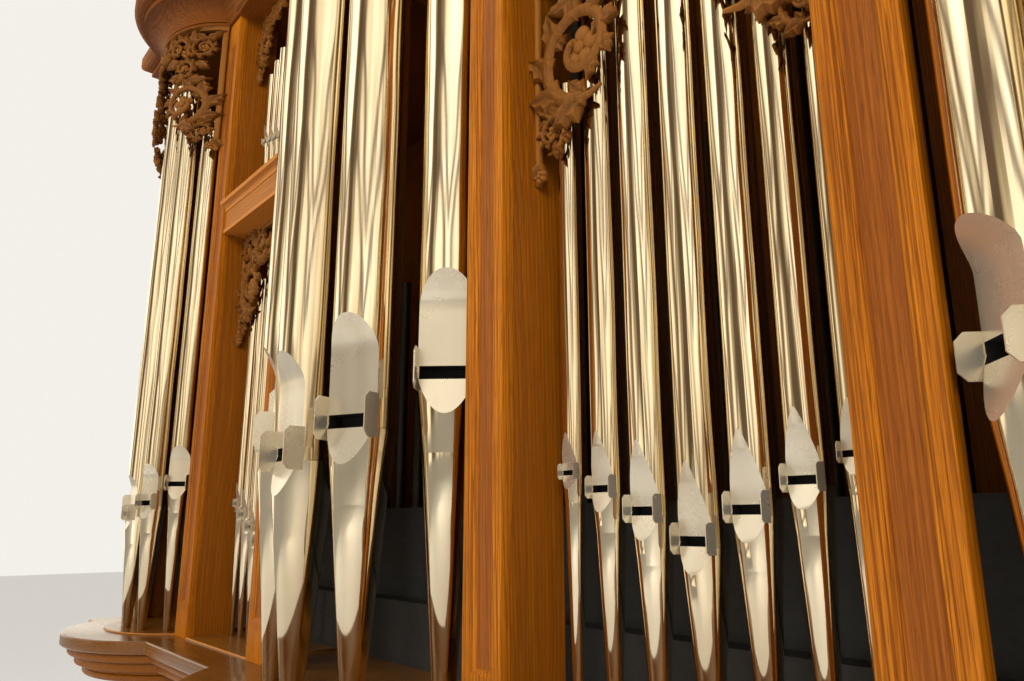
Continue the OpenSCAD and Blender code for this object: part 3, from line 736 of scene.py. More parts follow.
def one_pipe(pattern, radius, mouth, top, place, turn=0.0):
    """A copy of the pattern: its ends pulled out, scaled, turned and placed."""
    pipe = copy_of(pattern, "pipe")
    edit(pipe)
    pick("VERT", lambda v: v.co.z < 0.05 - FOOT_END)
    bpy.ops.transform.translate(value=(0, 0, FOOT_LENGTH - mouth / radius))
    pick("VERT", lambda v: v.co.z > UPPER_END)
    bpy.ops.transform.translate(value=(0, 0, top / radius - mouth / radius - TUBE_TOP))
    done()
    pipe.scale = (radius, radius, radius)
    pipe.rotation_euler = (0, 0, turn)
    pipe.location = (place[0], place[1], place[2] + mouth)
    settle(pipe)
    return pipe


def curve_value(curve, i):
    """A height in metres, from a curve in millimetres over the pipe's number."""
    return (curve[0] + curve[1] * i + curve[2] * i * i) / 1000


def slim(radius, fall, i):
    """The radius of a pipe, which falls in millimetres with the square of its number."""
    return radius - fall * i * i / 1000


def row(x, foot, width, count, radius, fall, mouth, top):
    """A straight row of 2 count + 1 pipes in a flat."""
    radii = [slim(radius, fall, i) for i in range(count + 1)]
    gap = (width - 2 * ROW_ROOM - 2 * radii[0] - 4 * sum(radii[1:])) / (2 * count)
    across = [0.0]
    for i in range(1, count + 1):
        across.append(across[-1] + radii[i - 1] + gap + radii[i])
    return [one_pipe(flat_pattern, radii[abs(i)], curve_value(mouth, abs(i)), curve_value(top, abs(i)),
                     (x + math.copysign(across[abs(i)], i), FRONT + ROW_SET + radii[abs(i)], foot))
            for i in range(-count, count + 1)]


def ring(pattern, x, width, bow, room, back, radius, fall, mouth, top):
    """Five pipes on the round of a tower."""
    big = arc_radius(width, bow)
    circle = big - room - radius
    step = math.acos((big - bow - back) / circle) / 2
    heart = arc_heart(width, bow)
    return [one_pipe(pattern, slim(radius, fall, abs(i)), curve_value(mouth, abs(i)),
                     curve_value(top, abs(i)),
                     (x + circle * math.sin(i * step), heart - circle * math.cos(i * step), TOE), i * step)
            for i in range(-2, 3)]


# %% All the pipes of the front
# radius, its fall, and the curves of mouths and tops; a row begins with its count
CENTRE_RING = (0.066, 1.2, (392, 36, 12), (2710, -20, -50))
TOWER_RING = (0.073, 1.2, (484, 38.5, 17.5), (3050, -20, -50))
END_RING = (0.044, 0.5, (374, 22, 14), (2060, -20, -30))
INNER_LOW = (3, 0.038, 1.7, (318, 50, -3.5), (1540, -10, -33))
INNER_HIGH = (5, 0.022, 0.12, (220, 8, 0.5), (670, -8, -4))
FLAT_LOW = (3, 0.029, 0.78, (290, 46, -2), (1280, -8, -22))
FLAT_HIGH = (4, 0.022, 0.12, (200, 8, 0.5), (610, -8, -4))


def pipe_bay(name, pipes):
    """The pipes of one bay as one piece."""
    stand_for(join(name, pipes), name)


def two_rows(x, width, rail_z, low, high):
    """The pipes of a flat: large ones on the toe board and small ones on the rail."""
    return row(x, TOE, width, *low) + row(x, rail_z + RAIL_H, width, *high)


pipe_bay("pipes_centre", ring(centre_pattern, 0, CENTRE_W, CENTRE_BOW, CENTRE_ROOM, 0, *CENTRE_RING))
for side, word in ((-1, "left"), (1, "right")):
    large = ring(tower_pattern, side * TOWER_X, TOWER_W, TOWER_BOW, TOWER_ROOM, RING_BACK, *TOWER_RING)
    pipe_bay("pipes_tower_" + word, large)
    pipe_bay("pipes_end_" + word, ring(tower_pattern, side * END_X, END_W, END_BOW, TOWER_ROOM, 0, *END_RING))
    pipe_bay("pipes_inner_" + word, two_rows(side * INNER_X, INNER_W, INNER_RAIL, INNER_LOW, INNER_HIGH))
    pipe_bay("pipes_flat_" + word, two_rows(side * FLAT_X, FLAT_W, FLAT_RAIL, FLAT_LOW, FLAT_HIGH))
for pattern in (tower_pattern, flat_pattern, centre_pattern):
    bpy.data.objects.remove(pattern, do_unlink=True)

# %% [markdown]
# ## Posts
#
# Each post is a board that faces the room, with a sunk and moulded panel, and beside a
# flat a deeper board lines the bay. A sunk panel could be cut with a solid. Here the face
# is bisected above and below, and inset again and again, each time a little deeper, which
# gives the moulding its small steps.

# %% A sunk, moulded panel in a face
def sink_panel(piece, test, margin, steps, panel=None):
    """Insets the faces that pass a test, step by step, and gives the last one a finish."""
    edit(piece)
    pick("FACE", test)
    bpy.ops.mesh.inset(thickness=margin, use_even_offset=True)
    for across, deeper in steps:
        bpy.ops.mesh.inset(thickness=across, depth=-deeper, use_even_offset=True)
    if panel:
        dress(piece, panel)
        dress_picked(len(piece.data.materials) - 1)
    done()


def slice_at(piece, height):
    """Cuts new edges round a piece at a height."""
    edit_all(piece)
    bpy.ops.mesh.bisect(plane_co=(0, 0, height), plane_no=(0, 0, 1))
    done()


def ease(piece, width=0.0012):
    """Rounds the sharp edges, as sandpaper and hands do."""
    only(piece)
    modifier = piece.modifiers.new("eased", "BEVEL")
    modifier.width, modifier.segments = width, 2
    modifier.limit_method = "ANGLE"
    modifier.angle_limit = math.radians(40)
    bpy.ops.object.modifier_apply(modifier=modifier.name)
    smooth(piece, EASED)


POST_STILE, POST_END = 0.025, 0.105
POST_MOULD = ((0.0008, 0.0028), (0.0030, 0.0004), (0.0022, 0.0012), (0.0014, 0.0022), (0.0006, 0.0014))
LINING_D, LINING_T, SHADOW_GAP = 0.150, 0.025, 0.0006
POST_X = [0.350, 1.100, 2.080, 2.690, 3.320]


def post(index, lining, height):
    """One post of the right half: its front board and the board that lines the flat."""
    x = POST_X[index]
    front = box_piece("post", (x, FRONT, SHELF), (x + POST_W, FRONT + BOARD, SHELF + height))
    dress(front, "oak_post")
    slice_at(front, SHELF + POST_END - POST_STILE)
    slice_at(front, SHELF + height - POST_END + POST_STILE)
    sink_panel(front, lambda f: f.normal.y < -0.9 and f.calc_area() > POST_W * height / 2,
               POST_STILE, POST_MOULD, "oak_panel")
    ease(front)
    boards = [front]
    if lining:
        low_x = x + POST_W - LINING_T if lining > 0 else x
        inset = SHADOW_GAP * lining
        board = box_piece("lining", (low_x - inset, FRONT + BOARD, SHELF),
                          (low_x + LINING_T - inset, FRONT + LINING_D, SHELF + height), 0.001)
        dress(board, "oak_lining")
        boards.append(board)
    return boards


inner = post(0, 1, CENTRE_Z - SHELF) + post(1, -1, TOWER_Z - SHELF)
both_sides("posts_inner", join("posts_inner", inner))
outer = post(2, 1, TOWER_Z - SHELF) + post(3, -1, LOW_Z - SHELF) + post(4, 0, LOW_Z - SHELF)
both_sides("posts_outer", join("posts_outer", outer))

# %% [markdown]
# ## Rails
#
# A rail crosses each side flat and inner flat and carries the small pipes above it. Its
# profile is drawn once, from the lower edge up to the rounded nose, and extruded.

# %% Moulded rails
def arc(centre, radius, start, end, steps):
    """Points on an arc, from one angle to another in degrees."""
    turn = (end - start) / steps
    return [(centre[0] + radius * math.cos(math.radians(start + turn * i)),
             centre[1] + radius * math.sin(math.radians(start + turn * i))) for i in range(steps + 1)]


def rail(x, width, z):
    """A rail over a flat's width: a band, a hollow and a rounded nose."""
    face, nose = FRONT + 0.006, FRONT - 0.014
    # out and up, from the lower edge to the rounded nose and back
    profile = [(face + 0.144, 0), (face, 0), (face, 0.012), (face + 0.003, 0.014), (face + 0.003, 0.078)]
    profile += [(face, 0.080), (face, 0.086)]
    profile += arc((face - 0.016, 0.086), 0.016, 0, 80, 5)[1:]
    profile += [(nose + 0.002, 0.103)] + arc((nose + 0.008, 0.112), 0.008, 220, 90, 6)
    profile += [(nose + 0.020, 0.122), (nose + 0.022, RAIL_H), (face + 0.144, RAIL_H)]
    piece = bar("rail", [(x - width / 2, y, z + up) for y, up in profile], (width, 0, 0))
    dress(piece, "oak_rail")
    smooth(piece, MOULDED)
    return piece


both_sides("rail_inner", rail(INNER_X, INNER_W, INNER_RAIL))
both_sides("rail_flat", rail(FLAT_X, FLAT_W, FLAT_RAIL))

# %% [markdown]
# ## Toe boards
#
# The pipes' feet stand on thin boards, level with the posts in the flats and bowed
# forward in the towers. Their upper edge is chamfered and catches the light as a thin
# pale line, so the chamfer takes the pale wood.

# %% Toe boards with a chamfered edge
CHEST_FRONT, TOE_CHAMFER = 0.270, 0.003


def toe_board(x, width, bow):
    """A board with a straight front, or a round one where there is a bow."""
    outline = [(-width / 2, FRONT + CHEST_FRONT), (-width / 2, FRONT)]
    if bow:
        radius = arc_radius(width, bow)
        half = math.degrees(math.asin(width / 2 / radius))
        outline += arc((0, arc_heart(width, bow)), radius, 270 - half, 270 + half, 48)[1:-1]
    outline += [(width / 2, FRONT), (width / 2, FRONT + CHEST_FRONT)]
    board = bar("toe", [(x + across, y, SHELF) for across, y in outline], (0, 0, TOE - SHELF))
    dress(board, "oak_shelf", "oak_rail")
    edit(board)
    pick("EDGE", lambda e: all(v.co.z > TOE - NEAR for v in e.verts)
         and any(v.co.y < FRONT + 0.01 for v in e.verts) and all(v.co.y < FRONT + 0.05 for v in e.verts))
    bpy.ops.mesh.bevel(offset=TOE_CHAMFER, segments=1, affect="EDGES")
    pick("FACE", lambda f: 0.2 < f.normal.z < 0.9)
    dress_picked(1)
    done()
    return board


stand_for(join("toe_boards", [toe_board(*bay) for bay in BAYS]), "toe_boards")

# %% [markdown]
# ## Impost shelf and tower bases
#
# Under the pipes runs a shelf in three layers, each set back from the one above, with a
# round shelf in front of each tower. Every layer is a long board that is joined with five
# round ones by booleans, so the mitres between straight and round stay crisp; then only
# its rim is rounded. A hollow curve spun about the tower's middle carries each round.

# %% The three layers of the shelf
ROUND_REACH, SHELF_REACH, SIDE_REACH = 0.130, 0.110, 0.050
STEP_IN, STEP_H, SHELF_T = 0.025, 0.030, 0.040
OVERLAP, ROUND_STEPS = 0.02, 192


def layer(name, inset, top, thick, rounding, finish):
    """One layer: a board with a round in front of each tower, and its rim rounded."""
    front = FRONT - SHELF_REACH + inset
    side = HALF_W + SIDE_REACH - inset
    board = box_piece(name, (-side, front, top - thick), (side, BACK, top))
    for x, width, bow in TOWERS:
        start_clean()
        bpy.ops.mesh.primitive_cylinder_add(
            vertices=ROUND_STEPS, radius=arc_radius(width, bow) + ROUND_REACH - inset, depth=thick,
            location=(x, arc_heart(width, bow), top - thick / 2))
        disc = bpy.context.object
        settle(disc)
        cut_off(disc, (0, front + OVERLAP, 0), (0, 1, 0))
        cut(board, disc, "UNION")
    edit_all(board)
    bpy.ops.mesh.dissolve_limited(angle_limit=math.radians(0.4))
    pick("EDGE", lambda e: len(e.link_faces) == 2 and abs(e.verts[0].co.z - e.verts[1].co.z) < NEAR
         and sum(abs(f.normal.z) > 0.9 for f in e.link_faces) == 1
         and any(v.co.y < BACK - 0.01 for v in e.verts))
    bpy.ops.mesh.bevel(offset=rounding, segments=5, affect="EDGES", clamp_overlap=True)
    done()
    smooth(board, MOULDED)
    dress(board, finish)
    return board


slab = layer("slab", 0.0, SHELF, SHELF_T, 0.016, "oak_shelf")
step_1 = layer("step", STEP_IN, SHELF - SHELF_T, STEP_H, 0.010, "oak_shelf_step")
step_2 = layer("step", 2 * STEP_IN, SHELF - SHELF_T - STEP_H, STEP_H, 0.006, "oak_shelf_step")

# %% The hollow curves under the towers
CORBEL_H, CORBEL_TIP, CORBEL_BACK = 0.430, 0.014, 0.004
HOLLOW_STEPS, CORBEL_STEPS = 24, 160


def corbel(x, width, bow):
    """A bead and a long hollow, spun about the tower's middle and cut off behind."""
    heart = arc_heart(width, bow)
    top = arc_radius(width, bow) + ROUND_REACH - 3 * STEP_IN
    tip = heart - LOWER + CORBEL_TIP
    deep, run = CORBEL_H - 0.046, top - 0.030 - tip
    profile = [(tip - 0.05, UNDER), (top - 0.002, UNDER), (top - 0.002, UNDER - 0.010)]
    profile += arc((top - 0.014, UNDER - 0.022), 0.0125, 70, -70, 8)
    profile += [(top - 0.016, UNDER - 0.036), (top - 0.026, UNDER - 0.036)]
    # a quarter of an ellipse, hollow towards the room
    for i in range(1, HOLLOW_STEPS + 1):
        turn = math.pi / 2 * i / HOLLOW_STEPS
        out, down = run * (1 - math.sin(turn)), deep * (1 - math.cos(turn))
        profile.append((tip + 0.004 + out, UNDER - 0.036 - down))
    profile += [(tip, UNDER - CORBEL_H + 0.008), (tip, UNDER - CORBEL_H), (tip - 0.05, UNDER - CORBEL_H)]
    piece = turned("corbel", profile, (x, heart, 0), CORBEL_STEPS)
    cut_off(piece, (0, LOWER - CORBEL_BACK, 0), (0, 1, 0))
    dress(piece, "oak_shelf_step")
    smooth(piece, MOULDED)
    return piece


stand_for(join("impost_shelf", [slab, step_1, step_2]), "impost_shelf")
stand_for(join("tower_bases", [corbel(*tower) for tower in TOWERS]), "tower_bases")

# %% [markdown]
# ## Crown mouldings
#
# Each tower ends in a crown that runs round its front and back along its sides. One
# profile makes it three times: extruded along the front, extruded from front to back, and
# spun for the round. What the two straight ones share is the mitred frame, and the spun
# one is joined to it.

# %% One crown profile, three ways
CROWN_H, BEYOND = 0.220, 0.3


def crown_profile():
    """How far the crown stands out at each height: bead, hollow, band and slab."""
    points = [(0.0, 0.0), (0.010, 0.0)] + arc((0.008, 0.010), 0.0095, -70, 70, 6)
    points += [(0.010, 0.021), (0.014, 0.021)]
    points += [(0.014 + 0.080 - x, z) for x, z in arc((0, 0.021), 0.079, 0, 90, 12)]
    points += [(0.100, 0.100), (0.100, 0.124), (0.110, 0.124), (0.110, 0.128)]
    points += arc((0.1097, 0.158), 0.030, -90, 0, 8)
    return points + [(0.1396, 0.196), (0.134, 0.202), (0.134, 0.212), (0.126, CROWN_H)]


def crown(x, width, bow, z, inner_cut=False):
    """A tower's crown, cut off straight on its inner side where another bay stands."""
    half = width / 2 + POST_W
    side_z = [(out, z + up) for out, up in crown_profile()]
    ends = [(x - half - BEYOND, BACK, z + CROWN_H), (x - half - BEYOND, BACK, z)]
    along = bar("crown", [(x - half - BEYOND, FRONT - out, up) for out, up in side_z] + ends,
                (2 * (half + BEYOND), 0, 0))
    around = [(x + half + out, FRONT - BEYOND, up) for out, up in side_z]
    around += [(x - half - out, FRONT - BEYOND, up) for out, up in reversed(side_z)]
    across = bar("crown_cross", around, (0, BACK - FRONT + 2 * BEYOND, 0))
    cut(along, across, "INTERSECT")
    radius = arc_radius(width, bow)
    within = radius - bow - OVERLAP
    profile = [(within, z)] + [(radius + out, up) for out, up in side_z] + [(within, z + CROWN_H)]
    spun = turned("crown_round", profile, (x, arc_heart(width, bow), 0), ROUND_STEPS)
    cut_off(spun, (0, FRONT + OVERLAP / 2, 0), (0, 1, 0))
    cut(along, spun, "UNION")
    if inner_cut:
        cut_off(along, (x - half, 0, 0), (-1, 0, 0))
    dress(along, "oak_crown")
    smooth(along, MOULDED)
    return along


WALL_FRAME, WALL_MOULD = 0.11, ((0.002, 0.004), (0.004, 0.001), (0.003, 0.002))


def wall(low, high, panel_face):
    """A wall of the case, framed round sunk fields on its outer face."""
    board = box_piece("wall", low, high)
    dress(board, "oak_wall")
    sink_panel(board, lambda f: f.normal.dot(Vector(panel_face)) > 0.9, WALL_FRAME, WALL_MOULD, "oak_panel")
    ease(board)
    return board


def tower_walls(x, width, low_in, low_out, top):
    """The walls of a tower above the bays beside it; the left one is the inner one."""
    out = width / 2 + POST_W
    deep = FRONT + LINING_D
    return [wall((x - out, deep, low_in), (x - out + LINING_T, BACK, top), (-1, 0, 0)),
            wall((x + out - LINING_T, deep, low_out), (x + out, BACK, top), (1, 0, 0)),
            wall((x - out, BACK - BOARD, LOW_Z), (x + out, BACK, top), (0, 1, 0))]


both_sides("crown_end", crown(END_X, END_W, END_BOW, LOW_Z, True))
large = [crown(TOWER_X, TOWER_W, TOWER_BOW, TOWER_Z)] + tower_walls(TOWER_X, TOWER_W, INNER_Z, LOW_Z, TOWER_Z)
both_sides("crown_tower", join("crown_tower", large))
middle = [crown(0, CENTRE_W, CENTRE_BOW, CENTRE_Z)] + tower_walls(0, CENTRE_W, INNER_Z, INNER_Z, CENTRE_Z)
stand_for(join("crown_centre", middle), "crown_centre")

# %% [markdown]
# ## Curved mouldings over the flats
#
# Over a flat the moulding bends upwards. It is an outline that is spun about a level axis
# far above it, cut off at the posts, with a thin roof behind it and a board that closes
# the back.

# %% Mouldings spun about a level axis
SWEEP_H, SWEEP_REACH = 0.090, 0.060
FLAT_SWEEP, INNER_SWEEP = 0.260, 0.110
PAST_POST, LEVEL_END = 0.02, 0.002
SWEEP_STEPS, BACK_STEPS = 40, 24


def swept(x0, x1, heart_x, z, run, rise):
    """The moulding starts level at heart_x and climbs by rise over run, both ways."""
    radius = (run * run + rise * rise) / (2 * rise)
    outline = [(0.0, BACK), (0.0, FRONT)]
    outline += [(0.0, FRONT - 0.012), (0.006, FRONT - 0.014), (0.012, FRONT - 0.022), (0.030, FRONT - 0.028)]
    outline += [(0.050, FRONT - 0.038), (0.058, FRONT - 0.050)]
    outline += [(0.060, FRONT - SWEEP_REACH), (0.082, FRONT - SWEEP_REACH)]
    outline += [(0.090, FRONT - 0.054), (SWEEP_H, FRONT + BOARD), (BOARD, FRONT + BOARD), (BOARD, BACK)]
    start, end = -LEVEL_END, LEVEL_END
    if heart_x > x0 + 0.01:
        start = -math.asin(min(1, (heart_x - x0 + PAST_POST) / radius))
    if x1 > heart_x + 0.01:
        end = math.asin(min(1, (x1 - heart_x + PAST_POST) / radius))
    centre = Vector((heart_x, 0, z + radius))
    profile = []
    for up, y in outline:
        short = radius - up
        profile.append((heart_x + short * math.sin(start), y, z + radius - short * math.cos(start)))
    piece = draw("swept", profile)
    edit_all(piece)
    bpy.ops.mesh.spin(steps=SWEEP_STEPS, angle=end - start, center=centre, axis=(0, 1, 0))
    done()
    faces_out(piece)
    cut_off(piece, (x0, 0, 0), (-1, 0, 0))
    cut_off(piece, (x1, 0, 0), (1, 0, 0))
    faces_out(piece)
    dress(piece, "oak_crown")
    smooth(piece, MOULDED)
    return piece, radius


def back_board(x0, x1, heart_x, z, radius, low):
    """The board that closes the back of a flat, up to the curve."""
    top = [x0 + (x1 - x0) * i / BACK_STEPS for i in range(BACK_STEPS + 1)]
    outline = [(x, BACK, z + radius - math.sqrt(radius**2 - (x - heart_x)**2) + BOARD / 2) for x in top]
    outline += [(x1, BACK, low), (x0, BACK, low)]
    board = bar("back", outline, (0, -BOARD, 0))
    dress(board, "oak_wall")
    return board


def over_flat(x, width, heart_x, z, run, rise):
    """The curved moulding over a flat, with the board that closes its back."""
    x0, x1 = x - width / 2, x + width / 2
    moulding, radius = swept(x0, x1, heart_x, z, run, rise)
    return join("swept", [moulding, back_board(x0, x1, heart_x, z, radius, LOW_Z)])


both_sides("crown_inner", over_flat(INNER_X, INNER_W, INNER_X, INNER_Z, INNER_W / 2, INNER_SWEEP))
both_sides("crown_flat", over_flat(FLAT_X, FLAT_W, FLAT_X + FLAT_W / 2, LOW_Z, FLAT_W, FLAT_SWEEP))

# %% [markdown]
# ## Carved pipe shades
#
# The space over the pipes is filled with pierced oak carving: stems that curl into
# scrolls, leaves along their outer side and a rosette in each eye. Carving could be
# sculpted over a flat board, but a pierced shade is made of open stems with darkness
# behind, so it is put together from a few modelled elements. Each one is made once, at a
# size of 1, and copied, turned and scaled into the scrolls of the measured shade.

# %% The elements: a leaf, a rosette and a scroll
LEAF_WIDTH, LEAF_NECK, LOBE_DEPTH, LOBE_RATE = 0.36, 0.06, 0.24, 22
LEAF_SWAY, LEAF_CURL = 0.34, 0.16
PETALS = 5


def acanthus_leaf():
    """A pointed leaf with grooves and a lobed edge, curled at its tip, lying along X."""
    start_clean()
    bpy.ops.mesh.primitive_uv_sphere_add(segments=10, ring_count=10, radius=1, rotation=(0, math.pi / 2, 0))
    leaf = bpy.context.object
    leaf.scale = (0.5, 0.24, 0.5)
    settle(leaf)
    edit(leaf)
    # towards the tip the leaf narrows, and its front is fluted along its length
    mesh = bmesh.from_edit_mesh(leaf.data)
    for v in mesh.verts:
        share = v.co.x + 0.5
        round_half = 0.5 * math.sqrt(max(1e-6, 1 - (2 * share - 1)**2))
        width = math.sin(math.pi * min(1, share**0.6)) * LEAF_WIDTH + LEAF_NECK * (1 - share)
        v.co.y *= 0.9 - 0.35 * math.cos(math.tau * v.co.z / round_half)
        v.co.z *= width / 0.5 * (1 + LOBE_DEPTH * math.sin(share * LOBE_RATE))
        v.co.z += LEAF_SWAY * share * share
        v.co.y -= LEAF_CURL * share * share
        v.co.x = share
    bmesh.update_edit_mesh(leaf.data)
    done()
    return leaf


def rosette():
    """Five petals round a berry."""
    balls = []
    for i in range(PETALS + 1):
        turn = math.tau * i / PETALS
        away, size, lift = (0.0, 0.12, -0.14) if i == PETALS else (0.23, 0.165, -0.05)
        start_clean()
        bpy.ops.mesh.primitive_ico_sphere_add(
            subdivisions=2, radius=size, location=(away * math.cos(turn), lift, away * math.sin(turn)))
        balls.append(bpy.context.object)
    flower = join("rosette", balls)
    settle(flower)
    return flower


def stem(name, points, thick, thin, sides=2):
    """A round stem along points, which swells from its start and then grows thinner."""
    curve = bpy.data.curves.new(name, "CURVE")
    curve.dimensions = "3D"
    curve.bevel_depth, curve.bevel_resolution = 1.0, sides
    curve.use_fill_caps = True
    line = curve.splines.new("POLY")
    line.points.add(len(points) - 1)
    for i, (point, place) in enumerate(zip(line.points, points)):
        point.co = (*place, 1)
        share = i / (len(points) - 1)
        point.radius = (thick + (thin - thick) * share) * min(1, 0.25 + 7 * share)
    piece = bpy.data.objects.new(name, curve)
    bpy.context.scene.collection.objects.link(piece)
    only(piece)
    bpy.ops.object.convert(target="MESH")
    return bpy.context.object


SPIRAL_TURNS, SPIRAL_STEPS = 1.45, 34


def spiral_place(share):
    """A place on the stem's spiral, from its outer end to its eye."""
    turn = math.tau * SPIRAL_TURNS * share
    away = 0.80 * (1 - share)**0.85 + 0.12
    return Vector((away * math.cos(turn), -0.05 - 0.12 * share, away * math.sin(turn)))


def placed(pattern, place, size, turn):
    """A copy of an element, sized along X, Y and Z, turned in the plane and placed."""
    piece = copy_of(pattern, pattern.name)
    piece.scale = size
    piece.rotation_euler = (0, turn, 0)
    piece.location = place
    settle(piece)
    return piece


def make_scroll(leaf, flower):
    """A curled stem with leaves along its outer side and a rosette in its eye."""
    parts = [stem("stem", [spiral_place(i / SPIRAL_STEPS) for i in range(SPIRAL_STEPS + 1)], 0.135, 0.065)]
    parts[0].scale = (1, 1.5, 1)
    settle(parts[0])
    for i in range(9):
        share = 0.04 + 0.075 * i
        here, there = spiral_place(share), spiral_place(share + 0.02)
        along = there - here
        # leaves overlap along the outside of the stem, smaller towards the eye
        size = 0.76 - 0.040 * i
        turn = -math.atan2(along.z, along.x)
        parts.append(placed(leaf, here * 0.98 + Vector((0, -0.03, 0)), (size, size * 1.3, -size),
                            turn + math.radians(16)))
        if i % 3 == 0:
            parts.append(placed(leaf, here * 0.94, (size * 0.6, size, size * 0.6), turn - math.radians(24)))
    parts.append(placed(flower, (0, 0, 0), (0.95, 1.1, 0.95), 0))
    scroll = join("scroll", parts)
    edit_all(scroll)
    bpy.ops.mesh.normals_make_consistent(inside=False)
    done()
    smooth(scroll, CARVED)
    return scroll


leaf_pattern = acanthus_leaf()
rosette_pattern = rosette()
scroll_pattern = make_scroll(leaf_pattern, rosette_pattern)
print("scroll:", len(scroll_pattern.data.polygons), "faces")

# %% [markdown]
# ## Filling a shade
#
# The measured shade is a chain of round scrolls: a small one at the tail, the main one
# over it, one in the corner and a row along the top. Their places and sizes follow from
# the half width and the height by the same rule here. Under a curved moulding each
# scroll hangs from the moulding over it. A large one is carved as three scrolls round a
# rosette, and leaves spring from the places where two scrolls touch.

# %% The scrolls of one half
SHADE_T, SHADE_GAP = 0.022, 0.003
SHADE_SET = ROW_SET - SHADE_GAP - SHADE_T
TAIL_SCROLL, MAIN_SCROLL = (0.16, 0.30), (0.42, 0.76)
SCROLL_TOP, LOW_SHADE, SCROLL_LAP = 1.15, 1.6, 0.003
TOP_STRIP, SIDE_STRIP = 0.016, 0.012
BUD_UP_TO, SINGLE_UP_TO, THREE_IN_ONE = 0.020, 0.100, 0.464


def shade_scrolls(half, height):
    """Place across, height under the moulding and radius of each scroll, from the tail."""
    unit = min(half, height / LOW_SHADE)
    scrolls = [(half - across * unit, up * unit - height, across * unit)
               for across, up in (TAIL_SCROLL, MAIN_SCROLL)]
    corner = (height - SCROLL_TOP * unit) / 2
    scrolls.append((half - corner, -corner, corner))
    rest = half - 2 * corner
    count = math.floor(rest / (LOW_SHADE * corner))
    if count > 0:
        run = rest / (2 * count)
        radius = run + SCROLL_LAP
        scrolls += [((2 * i + 1) * run, -radius, radius) for i in reversed(range(count))]
    else:
        radius = max(rest, TOP_STRIP) + SCROLL_LAP
        scrolls.append((0.0, -radius, radius))
    return scrolls


def carved_round(place, radius, number):
    """The carving of one scroll: a single one, or three round a rosette."""
    deep = min(0.060, 0.8 * radius)
    x, y, z = place
    if radius < BUD_UP_TO:
        return [placed(rosette_pattern, place, (radius * 2.4, 0.06, radius * 2.4), 0)]
    if radius < SINGLE_UP_TO or number == 1:
        hand = 1 if number % 2 else -1
        return [placed(scroll_pattern, place, (radius * 0.90, deep, radius * 0.90 * hand),
                       math.radians(70 + 47 * number))]
    parts = [placed(rosette_pattern, (x, y - 0.004, z), (radius * 0.42, 0.09, radius * 0.42), 0.3)]
    small = THREE_IN_ONE * radius
    for i in range(3):
        turn = math.radians(90 + 120 * i + 25 * number)
        spot = (x + (radius - small) * math.cos(turn), y, z + (radius - small) * math.sin(turn))
        parts.append(placed(scroll_pattern, spot, (small * 0.94, 0.050, small * 0.94),
                            math.radians(40 + 130 * i)))
        # a leaf fills the room between two of the three
        between = turn + math.radians(60)
        start = (x + radius * 0.42 * math.cos(between), y, z + radius * 0.42 * math.sin(between))
        parts.append(placed(leaf_pattern, start, (radius * 0.55, 0.055, radius * 0.5), -between + 0.4))
    return parts


def carve_half(half, height, top_of, side):
    """The right half of a shade, or the left one for side -1."""
    parts, last = [], None
    for number, (x, z, radius) in enumerate(shade_scrolls(half, height)):
        here = Vector((x, -SHADE_T / 2, z + top_of(x)))
        if x > 0 or side > 0:
            parts += carved_round(here, radius, number)
        if last is not None:
            # two leaves spring from the place where this scroll touches the one before
            before, wide = last
            touch = before + (here - before) * (wide / (wide + radius))
            along = math.atan2(here.z - before.z, here.x - before.x)
            size = min(0.085, min(wide, radius) + 0.020)
            for turn in (along + math.radians(62), along - math.radians(112)):
                parts.append(placed(leaf_pattern, touch, (size, 0.055, size * 0.8), -turn))
        last = here, radius
    # a leaf points into the corner, and a bud closes the tail
    size = 0.50 * shade_scrolls(half, height)[2][2]
    parts.append(placed(leaf_pattern, (half - size, -SHADE_T / 2, top_of(half) - size),
                        (size * 1.15, 0.05, size * 0.8), math.radians(-22)))
    tail = Vector((half - 0.016, -SHADE_T / 2, top_of(half) - height))
    parts.append(placed(leaf_pattern, tail + Vector((0.004, 0, 0.050)), (0.052, 0.06, 0.040),
                        math.radians(74)))
    parts.append(placed(rosette_pattern, tail + Vector((0, 0, 0.016)), (0.040, 0.06, 0.040), 0))
    low, high = top_of(half) - height, top_of(half - SIDE_STRIP)
    parts.append(box_piece("side_strip", (half - SIDE_STRIP, -SHADE_T * 0.85, low),
                           (half, -SHADE_T * 0.15, high), 0.003, 1))
    whole = join("half", parts)
    return whole if side > 0 else flipped(whole)


# %% Whole shades, flat and round
def carving(half, height, top_of):
    """A whole shade in its own plane, top at height 0, with a strip along its top."""
    right = carve_half(half, height, top_of, 1)
    left = carve_half(half, height, lambda x: top_of(-x), -1)
    steps = 24
    across = [half * (2 * i / steps - 1) for i in range(steps + 1)]
    outline = [(x, 0, top_of(x)) for x in across] + [(x, 0, top_of(x) - TOP_STRIP) for x in reversed(across)]
    strip = bar("strip", outline, (0, -SHADE_T * 0.7, 0))
    strip.location.y = -SHADE_T * 0.15
    settle(strip)
    shade = join("carving", [right, left, strip])
    shade.data.materials.clear()
    dress(shade, "oak_carved")
    for face in shade.data.polygons:
        face.material_index = 0
    smooth(shade, CARVED)
    return shade


def level(x):
    """The top of a shade under a straight moulding."""
    return 0.0


def flat_shade(x, width, z, height, top_of=level):
    """A shade in a flat, with its top at height z."""
    shade = carving(width / 2, height, top_of)
    shade.location = (x, FRONT + SHADE_SET + SHADE_T, z)
    settle(shade)
    return shade


